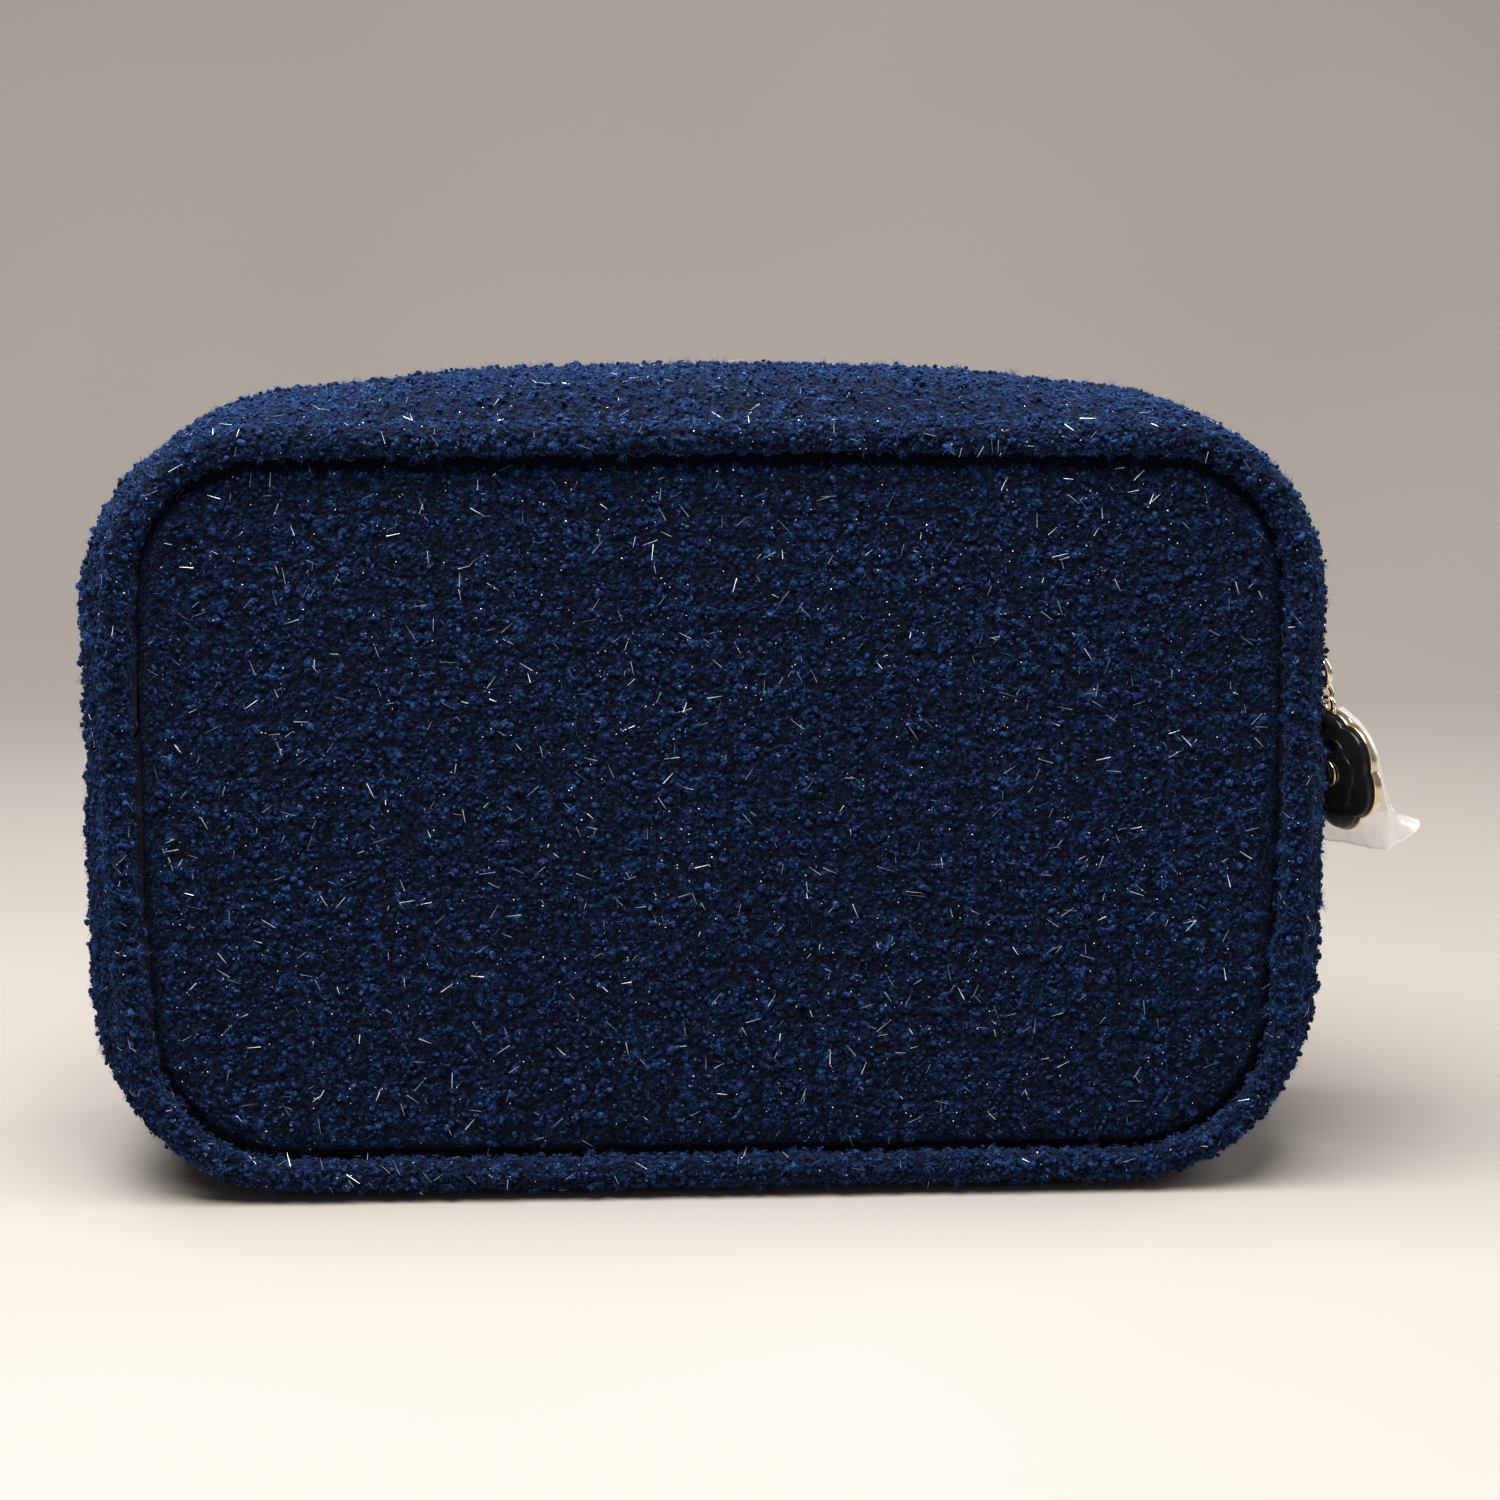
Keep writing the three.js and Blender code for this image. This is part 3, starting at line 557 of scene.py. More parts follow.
def film_material():
    """Clear film, hazier at grazing angles and along its cut edges."""
    shader = Shader("clear_film")
    facing = shader.node("ShaderNodeLayerWeight", {"Blend": 0.45})["Facing"]
    edge = shader.attribute("tip")
    haze = shader.calc("ADD", shader.calc("MULTIPLY", facing, 0.5),
                       shader.calc("MULTIPLY", edge, 0.45))
    alpha = shader.calc("ADD", haze, shader.calc(
        "MULTIPLY", shader.noise(350, detail=4), 0.26), clamp=True)
    shader.surface({
        "Alpha": shader.calc("MULTIPLY", alpha, shader.attribute("veil")),
        "Base Color": shader.ramp(shader.noise(260), [
            (0.2, (0.78, 0.76, 0.80)), (0.8, (0.95, 0.93, 0.95))]),
        "Roughness": 0.12, "Specular IOR Level": 0.9})
    shader.bump(shader.noise(420), strength=0.5, distance=0.0008)
    return shader.material


def coil_material():
    shader = Shader("navy_nylon_coil")
    shader.surface({
        "Base Color": shader.ramp(shader.noise(800), [
            (0.2, (0.005, 0.010, 0.03)), (0.8, (0.016, 0.03, 0.08))]),
        "Roughness": 0.35})
    shader.bump(shader.noise(3000, detail=2), strength=0.2, distance=0.0001)
    return shader.material


def board_material():
    shader = Shader("fibre_board")
    shader.surface({
        "Base Color": shader.ramp(shader.noise(500, detail=5), [
            (0.3, (0.13, 0.10, 0.07)), (0.7, (0.26, 0.21, 0.15))]),
        "Roughness": 0.9})
    shader.bump(shader.noise(1500), strength=0.4, distance=0.0002)
    return shader.material


# key: material, slot. The foam is hidden, so no piece here wears it.
MATERIALS = {
    "tweed": (tweed_material(), "tweed"),
    "fuzz": (fibre_material(), "tweed"),
    "lurex": (lurex_material(), "tweed"),
    "lining": (cloth_material(
        "navy_lining", dark=(0.0022, 0.0035, 0.010), light=(0.009, 0.014, 0.036),
        scale=900, roughness=0.55, sheen=0.1), "lining"),
    "tape": (cloth_material(
        "navy_zip_tape", dark=(0.003, 0.006, 0.018), light=(0.012, 0.022, 0.06),
        scale=700, roughness=0.8, sheen=0.2), "tape"),
    "foam": (cloth_material(
        "foam_interlining", dark=(0.45, 0.42, 0.35), light=(0.7, 0.66, 0.56),
        scale=500, roughness=0.95, sheen=0.0), "foam"),
    "gold": (gold_material(), "gold_metal"),
    "enamel": (enamel_material(), "black_enamel"),
    "steel": (steel_material(), "spring_steel"),
    "film": (film_material(), "clear_film"),
    "coil": (coil_material(), "zip_coil"),
    "board": (board_material(), "board"),
}


def finish_piece(ob, material, body, replaces=()):
    """Give a piece its material, the body it moves with and the CAD pieces it replaces."""
    look, slot = MATERIALS[material]
    ob.data.materials.clear()
    ob.data.materials.append(look)
    if body == "blend":
        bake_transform(ob)
    else:
        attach(ob, body)
    if replaces:
        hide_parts(*replaces)


def cad_names(*starts):
    return [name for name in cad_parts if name.startswith(starts)]


# ---------------------------------------------------------------- loose yarn on the cloth
# points and normals on a grid, where loose yarn gathers, and the body it moves with
Surface = namedtuple("Surface", "points normals weight body")


def scatter(surface, count, spread, repeat=1):
    """Random points on the cloth and their normals, shifted sideways by about spread."""
    weight = surface.weight.ravel().astype(float)
    weight = weight / weight.sum()
    chosen = RNG.choice(len(weight), size=count // repeat, p=weight)
    chosen = np.repeat(chosen, repeat)
    normals = surface.normals.reshape(-1, 3)[chosen]
    points = surface.points.reshape(-1, 3)[chosen]
    return points, normals, RNG.normal(scale=spread, size=points.shape) * (1 - normals * normals)


def tangents(normals):
    sides = RNG.normal(size=normals.shape)
    sides -= (sides * normals).sum(1, keepdims=True) * normals
    return sides / np.maximum(np.linalg.norm(sides, axis=1, keepdims=True), 1e-9)


def keep_above_table(points):
    points[..., 2] = np.maximum(points[..., 2], 0.02)


def strands(name, surface, count, length, width, lift, segments, curl, material="fuzz",
            bright=1.0, raised=0.0, per_tuft=1):
    """Tapered ribbons. Those of one tuft share a root point, a lean and a tone."""
    count = count // per_tuft * per_tuft
    points, normals, shift = scatter(surface, count, 0.25, per_tuft)
    points = points + normals * raised + shift
    lean = tangents(normals)
    if per_tuft > 1:
        lean = (np.repeat(lean[::per_tuft], per_tuft, 0) * 0.55
                + lean * RNG.uniform(0.1, 0.75, size=(count, 1)))
    ahead = normals * RNG.uniform(*lift, size=(count, 1)) + lean
    ahead /= np.linalg.norm(ahead, axis=1, keepdims=True)
    bend = tangents(normals) + normals * RNG.uniform(-0.9, 0.3, size=(count, 1))
    lengths = RNG.uniform(*length, size=(count, 1))
    widths = RNG.uniform(*width, size=(count, 1))
    # lurex lies nearly flat on the pile, yarn turns any way
    across = normals + 0.45 * tangents(normals) if material == "lurex" else tangents(normals)
    side = np.cross(ahead, across)
    side /= np.maximum(np.linalg.norm(side, axis=1, keepdims=True), 1e-9)
    rows = []
    spine = points - normals * 0.15
    for i in range(segments + 1):
        taper = 1 - 0.65 * i / segments
        rows.append(spine - side * widths * taper / 2)
        rows.append(spine + side * widths * taper / 2)
        ahead = ahead + bend * curl / segments
        ahead /= np.linalg.norm(ahead, axis=1, keepdims=True)
        spine = spine + ahead * lengths / segments
    ribbons = np.stack(rows, 1)
    keep_above_table(ribbons)
    first = np.arange(count)[:, None] * len(rows)
    faces = np.concatenate([first + np.array([[2 * i, 2 * i + 1, 2 * i + 3, 2 * i + 2]])
                            for i in range(segments)])
    tone = RNG.beta(2, 3, size=count)
    if per_tuft > 1:
        tone = 0.65 * np.repeat(tone[::per_tuft], per_tuft) + 0.35 * tone
    hue = np.repeat(np.clip(tone * bright, 0, 1), len(rows))
    ob = make_mesh(name, ribbons.reshape(-1, 3), faces, hue=hue)
    finish_piece(ob, material, surface.body)


def icosahedron():
    g = (1 + 5 ** 0.5) / 2
    points = np.array([
        (-1, g, 0), (1, g, 0), (-1, -g, 0), (1, -g, 0), (0, -1, g), (0, 1, g),
        (0, -1, -g), (0, 1, -g), (g, 0, -1), (g, 0, 1), (-g, 0, -1), (-g, 0, 1)], float)
    faces = np.array([
        (0, 11, 5), (0, 5, 1), (0, 1, 7), (0, 7, 10), (0, 10, 11), (1, 5, 9), (5, 11, 4),
        (11, 10, 2), (10, 7, 6), (7, 1, 8), (3, 9, 4), (3, 4, 2), (3, 2, 6), (3, 6, 8),
        (3, 8, 9), (4, 9, 5), (2, 4, 11), (6, 2, 10), (8, 6, 7), (9, 8, 1)])
    return points / np.linalg.norm(points[0]), faces


def lumps(name, surface, count, length):
    """Loose yarn loops, as small uneven lumps sitting on the cloth."""
    points, normals, shift = scatter(surface, count, 0.2)
    points = points + shift
    along = tangents(normals)
    across = np.cross(normals, along)
    ball, ball_faces = icosahedron()
    lengths = RNG.uniform(*length, size=(count, 1, 1))
    widths = lengths * RNG.uniform(0.45, 0.8, size=(count, 1, 1))
    heights = lengths * RNG.uniform(0.5, 0.9, size=(count, 1, 1))
    uneven = 1 + RNG.uniform(-0.3, 0.3, size=(count, 12, 1))
    x, y, z = (ball[None, :, i:i + 1] for i in range(3))
    centres = (points + normals * RNG.uniform(-0.05, 0.25, size=(count, 1)))[:, None]
    balls = centres + uneven * (lengths * x * along[:, None] + widths * y * across[:, None]
                                + heights * z * normals[:, None])
    keep_above_table(balls)
    faces = (ball_faces[None] + np.arange(count)[:, None, None] * 12).reshape(-1, 3)
    hue = np.repeat(RNG.beta(2.2, 1.8, size=count), 12)
    # tip rises towards the outer side of each lump: painted light on its top and painted shade at
    # its foot; shade adds a random tone to each lump
    shade = RNG.uniform(-0.25, 0.12, size=(count, 1))
    tip = np.clip(0.62 + 0.3 * ball[None, :, 2] + shade, 0.1, 1)
    ob = make_mesh(name, balls.reshape(-1, 3), faces, hue=hue, tip=tip)
    finish_piece(ob, "tweed", surface.body)


# ---------------------------------------------------------------- tweed pieces
def fabric(name, points, u, v, body, table, replaces, rough=1.0, closed=False, mask=None,
           centre=CENTRE, fade=1.0):
    """Cloth with tweed relief on a grid of points. fade lowers the pile and darkens its colour
    there, painted shade.
    """
    grid = grid_normals(points, closed, closed)
    normals = outward(points, grid, centre)
    height, tip, hue = tweed(u, v, table, rough)
    height = height * fade
    # painted shade: where fade lowers the pile, the tip value and so the colour darken too
    tip = tip * np.clip(fade, 0, 1)
    raised = points + normals * (height - 0.1 - 0.35 * rough)[..., None]
    faces = quads(*u.shape, closed, closed, mask)
    if (grid * normals).sum(-1).mean() < 0:
        faces = faces[:, ::-1]
    used = np.zeros(u.size, dtype=bool)
    used[faces.ravel()] = True
    renumber = np.cumsum(used) - 1
    ob = make_mesh(name, raised.reshape(-1, 3)[used], renumber[faces],
                   tip=tip.ravel()[used], hue=hue.ravel()[used])
    finish_piece(ob, "tweed", body, replaces)
    # loose loops gather on the thicker yarns
    weight = used.reshape(u.shape) * (0.15 + tip ** 2) * (0.35 + 1.3 * yarn_weight(u, v) ** 2)
    return Surface(raised, normals, weight, body)


def thin_out(surface, factor):
    return surface._replace(weight=surface.weight * factor)


def build_panel(side, step, table):
    """The large padded face of the pouch."""
    sign, body = SIDES[side]
    x, z = np.meshgrid(np.arange(-110.5, 110.6, step), np.arange(8.0, 146.6, step),
                       indexing="ij")
    loop = seam(-0.2, 60, 40)
    coarse_x, coarse_z = np.arange(-112.0, 112.1, 5.6), np.arange(6.0, 148.1, 5.6)
    sheet_x, sheet_z = np.meshgrid(coarse_x, coarse_z, indexing="ij")
    coarse_inset = inside_distance(sheet_x, sheet_z, loop)
    # the distance is measured on a middling grid and read at the fine one
    mid_x, mid_z = np.arange(-112, 112.1, 1.4), np.arange(6, 148.1, 1.4)
    mid_inset = inside_distance(*np.meshgrid(mid_x, mid_z, indexing="ij"), loop)
    inset = bilinear(mid_inset, mid_x, mid_z, x, z)
    crown = inflate_panel(sheet_x, sheet_z, coarse_inset)
    if crown is None:
        crown = 1 - np.exp(-np.clip(coarse_inset, 0, None) / 22.0)
        crown = crown / crown.max()
    for _ in range(2):
        smooth = crown.copy()
        smooth[1:-1, 1:-1] = (crown[1:-1, 1:-1] * 4 + crown[2:, 1:-1] + crown[:-2, 1:-1]
                              + crown[1:-1, 2:] + crown[1:-1, :-2]) / 8
        crown = smooth
    crown = bilinear(crown, coarse_x, coarse_z, x, z)
    edge = 1 - np.clip(inset, 0, 4.5) / 4.5
    y = 37.7 + 1.5 * crown - 3.0 * edge ** 2.2 + 0.7 * (noise(x, z, 46, 3) - 0.5)
    # near the seam the pile is lower and the colour darker: painted shade in the groove by the
    # piping
    surface = fabric(
        side + "_panel", np.stack([x, sign * y, z], -1), x, z, body, table,
        cad_names(side + "_panel_face", side + "_panel_foam"),
        mask=inset[:-1, :-1] > -0.6, fade=np.clip(0.30 + inset / 3.2, 0.1, 1.0))
    return thin_out(surface, np.clip((inset - 0.8) / 2.0, 0, 1))


def build_piping(side, step, table):
    """The covered cord round a panel."""
    sign, body = SIDES[side]
    rows = seam(0.0, 200, 120)
    rows = np.concatenate([rows, rows[:1]])
    lengths = lengths_along(rows[:, :2] + rows[:, 2:4] * PIPING_OUT)
    t = np.linspace(0, lengths[-1], int(lengths[-1] / step), endpoint=False)
    x, z, nx, nz = columns(resample(rows, lengths, t))
    a = np.linspace(0, 2 * math.pi, int(2 * math.pi * PIPING_RADIUS / step),
                    endpoint=False)[None, :]
    radius = PIPING_RADIUS - 0.35 + 0.22 * (noise(t, 0 * t, 13, table)[:, None] - 0.5)
    wobble = 0.5 * (noise(t, 0 * t, 38, table + 1) - 0.5)[:, None]
    out = PIPING_OUT + radius * np.sin(a)
    points = np.stack([x + nx * (out + wobble), sign * (PIPING_Y - radius * np.cos(a)),
                       z + nz * (out + wobble)], -1)
    core = np.stack([x + nx * (PIPING_OUT + wobble), 0 * wobble + sign * PIPING_Y,
                     z + nz * (PIPING_OUT + wobble)], -1)
    return fabric(side + "_piping", points, np.broadcast_to(t[:, None], out.shape),
                  a * PIPING_RADIUS + 0 * out, body, table, cad_names(side + "_piping"),
                  rough=1.35, closed=True, centre=core)


def build_gusset(name, part, ys, step, body, table, replaces):
    points, t = gusset_surface(part, ys, 0.35, step)
    u = np.broadcast_to(t[:, None], points.shape[:2])
    v = np.broadcast_to(ys[None, :], points.shape[:2])
    sag = 0.9 * (noise(u, v + 60, 52, table) - 0.5)
    normals = outward(points, grid_normals(points), CENTRE)
    if part == "lower":
        # the resting face stays flat
        sag = sag * np.clip(points[..., 2] / 14.0, 0, 1)
    else:
        # the facing's edge turns down over the zip
        e = np.clip((np.abs(ys) - 0.9) / 1.9, 0, 1)
        drop = 1.7 * (1 - np.sqrt(np.clip(1 - (1 - e) ** 2, 0, 1)))
        points = points - normals * drop[None, :, None]
    points = points + normals * sag[..., None]
    # the pile is pressed flat under the pouch, and where the facings meet; fade also darkens the
    # colour there, painted shade under the pouch and in the zip gap
    if part == "lower":
        fade, pull = np.clip(points[..., 2] / 5.0, 0.12, 1.0), 1.0
    else:
        fade, pull = np.clip((np.abs(v) - 0.7) / 2.2, 0.12, 1.0), 0.6
    # the surface is pulled in at the cross seams at the zip ends
    ends = np.minimum(t, t[-1] - t)[:, None]
    points = points - normals * (0.9 * np.exp(-(ends / 1.6) ** 2))[..., None] * pull
    surface = fabric(name, points, u, v, body, table, replaces, rough=1.45, fade=fade)
    if part == "upper":
        return thin_out(surface, np.clip((np.abs(v) - 1.7) / 2.4, 0, 1))
    # nothing of the base goes under the table
    vertices = bpy.data.objects[name].data.vertices
    co = np.empty(len(vertices) * 3, dtype=np.float32)
    vertices.foreach_get("co", co)
    co[2::3] = np.maximum(co[2::3], 0.0)
    vertices.foreach_set("co", co)
    bpy.data.objects[name].data.update()
    return thin_out(surface, surface.points[..., 2] >= 0.02)


FINE = 0.42  # grid step of the cloth
FRONT_YS = np.append(np.arange(-GUSSET_Y, -1.1, FINE), -0.9)
BACK_YS = np.append(0.9, np.arange(1.1 + FINE / 2, GUSSET_STOP, FINE))
BASE_YS = np.arange(-GUSSET_Y, GUSSET_STOP, FINE * 1.1)
surfaces = {
    "front_panel": build_panel("front", FINE, 0),
    "back_panel": build_panel("back", max(FINE, 0.8), 4),
    "front_piping": build_piping("front", FINE, 1),
    "back_piping": build_piping("back", max(FINE, 0.75), 5),
    "front_gusset": build_gusset("front_gusset", "upper", FRONT_YS, FINE, "blend", 2,
                                 ["front_zip_facing", "front_facing_foam"]),
    "back_gusset": build_gusset("back_gusset", "upper", BACK_YS, FINE, "root", 6,
                                ["back_zip_facing", "back_facing_foam"]),
    "base_gusset": build_gusset("base_gusset", "lower", BASE_YS, FINE * 1.1, "blend", 3,
                                ["base_gusset_face", "base_gusset_foam"]),
}

DENSITY = 1.0
# rough area of each surface in square cm, which sets how much loose yarn it gets
AREAS = {"front_panel": 300, "back_panel": 300, "front_piping": 136, "back_piping": 136,
         "front_gusset": 104, "back_gusset": 104, "base_gusset": 260}


def add_loose_yarn(name, surface):
    back, panel = name.startswith("back"), "panel" in name
    area = AREAS[name] * DENSITY * (0.6 if back else 1.0)
    extra = 1.0 if panel else 1.3
    lumps(name + "_nubs", surface, int(46 * area * extra),
          length=(0.24, 0.52) if panel else (0.26, 0.62))
    lumps(name + "_slubs", surface, int(6.5 * area * extra), length=(0.55, 1.0))
    strands(name + "_fuzz", surface, int(120 * area * extra), length=(0.5, 1.3),
            width=(0.05, 0.10), lift=(0.25, 1.4), segments=2, curl=1.1)
    strands(name + "_curls", surface, int(30 * area * extra), length=(0.8, 1.8),
            width=(0.12, 0.24), lift=(0.2, 0.9), segments=3, curl=1.8, bright=1.15)
    if not back or "gusset" in name:
        strands(name + "_hairs", surface, int(3.0 * area), length=(1.4, 3.4),
                width=(0.04, 0.07), lift=(0.8, 2.2), segments=4, curl=1.3)
    # frayed tufts: thicker on the gusset and piping than on the panels
    if panel:
        strands(name + "_tufts", surface, int(26 * area), length=(0.6, 1.5),
                width=(0.05, 0.09), lift=(0.5, 1.3), segments=2, curl=0.8, bright=1.35,
                per_tuft=16)
    else:
        strands(name + "_tufts", surface, int(64 * area), length=(0.9, 2.3),
                width=(0.05, 0.09), lift=(0.7, 1.8), segments=2, curl=0.8, bright=1.5,
                per_tuft=22)
    # short straight bright strips and specks lying on the pile; the brightest pieces glow with
    # painted glints, and the specks are almost all painted glint
    strands(name + "_lurex", surface, int(2.0 * area), length=(1.0, 3.2), width=(0.08, 0.15),
            lift=(-0.05, 0.18), segments=1, curl=0.0, material="lurex", bright=1.25, raised=0.6)
    strands(name + "_sparks", surface, int(4.5 * area), length=(0.14, 0.3), width=(0.10, 0.18),
            lift=(0.0, 0.35), segments=1, curl=0.0, material="lurex", bright=2.2, raised=0.55)


for surface_name, cloth_surface in surfaces.items():
    add_loose_yarn(surface_name, cloth_surface)


# ---------------------------------------------------------------- lining, bindings, zip
def sheet(name, points, material, body, replaces, inward=True, closed_u=False):
    """A plain single-sided sheet, facing the inside of the pouch or out of it."""
    normals = grid_normals(points, closed_u)
    faces_out = ((points - CENTRE) * normals).sum(-1).mean() > 0
    faces = quads(*points.shape[:2], closed_u)
    if faces_out == inward:
        faces = faces[:, ::-1]
    finish_piece(make_mesh(name, points.reshape(-1, 3), faces), material, body, replaces)


def build_panel_lining(side):
    sign, body = SIDES[side]
    rim_x, rim_z, _, _ = columns(seam(-0.9, 40, 24))
    t = np.linspace(1, 0.0002, 64)[None, :]
    x = rim_x * t
    z = CENTRE[2] + (rim_z - CENTRE[2]) * t
    wrinkles = 0.9 * (noise(x, z, 26, 2) - 0.5) + 0.45 * (noise(x * 1.3, z * 0.6, 8, 3) - 0.5)
    y = sign * (32.6 + wrinkles * (1 - t ** 4) + 1.2 * (1 - t ** 6))
    sheet(side + "_panel_liner", np.stack([x, y, z], -1), "lining", body,
          cad_names(side + "_panel_lining"), closed_u=True)


# section of the binding: distance out from the seam, distance from Y = 0
BINDING_SECTION = [(-1.2, 31.6), (-1.9, 31.7), (-2.25, 31.2), (-2.25, 28.0), (-1.9, 27.6),
                   (-1.2, 27.8)]


def build_binding(side):
    sign, body = SIDES[side]
    x, z, nx, nz, _ = seam(0.0, 60, 40).T
    points = np.stack([np.stack([x + nx * out, 0 * x + sign * y, z + nz * out], -1)
                       for out, y in BINDING_SECTION], 1)
    sheet(side + "_seam_tape", points, "tape", body, cad_names(side + "_seam_binding"),
          closed_u=True)


# one coil tooth, a bent loop: distance from Y = 0, depth under the crest, shift along it
COIL_TOOTH = [(3.5, 3.0, -0.1), (2.2, 2.35, 0.0), (1.15, 2.3, 0.12), (0.55, 2.9, 0.2),
              (0.55, 3.8, 0.3), (1.15, 4.35, 0.4), (2.2, 4.3, 0.52), (3.5, 3.7, 0.62)]
COIL_PITCH, COIL_RADIUS, COIL_SIDES = 1.35, 0.42, 7


def build_coil(side):
    sign, body = SIDES[side]
    rows = crest(200, 160)
    end = (COIL_END_Z - CREST_BOTTOM[1]) / (CREST_TOP[1] - CREST_BOTTOM[1])
    rows = rows[(rows[:, 4] >= end) & (rows[:, 4] <= 5 - end)]
    lengths = lengths_along(rows[:, :2])
    teeth = np.arange(0.4, lengths[-1] - 0.4, COIL_PITCH)
    x, z, nx, nz = resample(rows, lengths, teeth).T
    centres = np.stack([
        np.stack([x - nx * depth - nz * along, 0 * x + sign * y, z - nz * depth + nx * along], -1)
        for y, depth, along in COIL_TOOTH], 1)
    ahead = np.gradient(centres, axis=1)
    ahead /= np.linalg.norm(ahead, axis=-1, keepdims=True)
    side_1 = np.cross(ahead, np.stack([-nz, 0 * nx, nx], -1)[:, None, :])
    side_1 /= np.linalg.norm(side_1, axis=-1, keepdims=True)
    side_2 = np.cross(ahead, side_1)
    a = np.linspace(0, 2 * math.pi, COIL_SIDES, endpoint=False)[None, None, :, None]
    points = centres[:, :, None] + COIL_RADIUS * (
        np.cos(a) * side_1[:, :, None] + np.sin(a) * side_2[:, :, None])
    first = (np.arange(len(teeth)) * len(COIL_TOOTH) * COIL_SIDES)[:, None, None]
    faces = quads(len(COIL_TOOTH), COIL_SIDES, False, True)[None] + first
    ob = make_mesh(side + "_coil", points.reshape(-1, 3), faces.reshape(-1, 4))
    finish_piece(ob, "coil", body, [side + "_zip_coil"])


for side_name, (y_sign, side_body) in SIDES.items():
    build_panel_lining(side_name)
    build_binding(side_name)
    liner, _ = gusset_surface("upper", np.sort(y_sign * np.linspace(5.4, 34.0, 24)), 5.2, 1.5)
    sheet(side_name + "_facing_liner", liner, "lining", side_body,
          [side_name + "_facing_lining"])
    tape, _ = gusset_surface("upper", np.sort(y_sign * np.linspace(2.9, 15.0, 16)), 2.8, 1.2)
    sheet(side_name + "_tape", tape, "tape", side_body, [side_name + "_zip_tape"],
          inward=False)
    build_coil(side_name)

liner, _ = gusset_surface("lower", np.linspace(-34, 34, 50), 5.6, 2.0)
sheet("base_liner", liner, "lining", "blend", ["base_gusset_lining"])


# ---------------------------------------------------------------- hardware
def unit(vector):
    vector = np.asarray(vector, float)
    return vector / np.linalg.norm(vector)


def solid(name, points, faces, material, body, replaces):
    """A closed piece. faces is a list of face arrays."""
    ob = make_mesh(name, points, *faces)
    bm = bmesh.new()
    bm.from_mesh(ob.data)
    bmesh.ops.recalc_face_normals(bm, faces=bm.faces)
    bm.to_mesh(ob.data)
    bm.free()
    finish_piece(ob, material, body, [replaces])


def ring(name, centre, down, side, half_width, half_height, wire_across, wire_radial,
         body, replaces, segments, sides):
    """A gold wire ring in the plane of down and side. The wire sizes are half thicknesses."""
    down = unit(down)
    normal = unit(np.cross(down, side))
    across = unit(np.cross(normal, down))
    a = np.linspace(0, 2 * math.pi, segments, endpoint=False)[:, None, None]
    b = np.linspace(0, 2 * math.pi, sides, endpoint=False)[None, :, None]
    # a softened rectangle in section, as rolled wire has
    cos_b, sin_b = (np.sign(w) * np.abs(w) ** 0.8 for w in (np.cos(b), np.sin(b)))
    radial = across * np.cos(a) + down * np.sin(a)
    spine = centre + across * half_width * np.cos(a) + down * half_height * np.sin(a)
    points = spine + radial * wire_radial * cos_b + normal * wire_across * sin_b
    solid(name, points.reshape(-1, 3), [quads(segments, sides, True, True)], "gold", body,
          replaces)


def bail(name, stations, radius, body, replaces, rows=70, sides=16):
    """A gold wire on a smooth curve through stations, a little wider along Y."""
    stations = np.asarray(stations, float)
    t = np.linspace(0, len(stations) - 1, rows)
    i = np.clip(t.astype(int), 0, len(stations) - 2)
    u = (t - i)[:, None]
    p0, p1, p2, p3 = (stations[np.clip(i + k, 0, len(stations) - 1)] for k in (-1, 0, 1, 2))
    # Catmull-Rom spline
    spine = 0.5 * (2 * p1 + (p2 - p0) * u + (2 * p0 - 5 * p1 + 4 * p2 - p3) * u ** 2
                   + (3 * p1 - p0 - 3 * p2 + p3) * u ** 3)
    ahead = np.gradient(spine, axis=0)
    ahead /= np.linalg.norm(ahead, axis=1, keepdims=True)
    side_1 = np.broadcast_to(np.array([0, 1.0, 0]), ahead.shape)
    side_2 = np.cross(ahead, side_1)
    a = np.linspace(0, 2 * math.pi, sides, endpoint=False)[None, :, None]
    points = spine[:, None] + radius * (side_1[:, None] * 1.25 * np.cos(a)
                                        + side_2[:, None] * np.sin(a))
    points = np.concatenate([points.reshape(-1, 3), spine[:1], spine[-1:]])
    solid(name, points, [quads(rows, sides, False, True), caps(rows, sides)], "gold", body,
          replaces)


def beveled(cad_name, material, body, width, name):
    """The CAD solid with its edges rounded over."""
    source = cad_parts[cad_name]
    mesh = source.data.copy()
    ob = add_object(name, mesh)
    bm = bmesh.new()
    bm.from_mesh(mesh)
    bmesh.ops.transform(bm, matrix=source.matrix_world, verts=bm.verts)
    bmesh.ops.remove_doubles(bm, verts=bm.verts, dist=2e-6)
    bmesh.ops.dissolve_limit(bm, angle_limit=math.radians(2), verts=bm.verts, edges=bm.edges)
    edges = [edge for edge in bm.edges
             if len(edge.link_faces) == 2 and edge.calc_face_angle(0) > math.radians(25)]
    bmesh.ops.bevel(bm, geom=edges, offset=width * MM, segments=3, profile=0.6,
                    affect="EDGES", clamp_overlap=True)
    bmesh.ops.triangulate(bm, faces=bm.faces)
    bmesh.ops.recalc_face_normals(bm, faces=bm.faces)
    bm.to_mesh(mesh)
    bm.free()
    mesh.polygons.foreach_set("use_smooth", np.ones(len(mesh.polygons), dtype=bool))
    mesh.set_sharp_from_angle(angle=math.radians(40))
    finish_piece(ob, material, body, [cad_name])


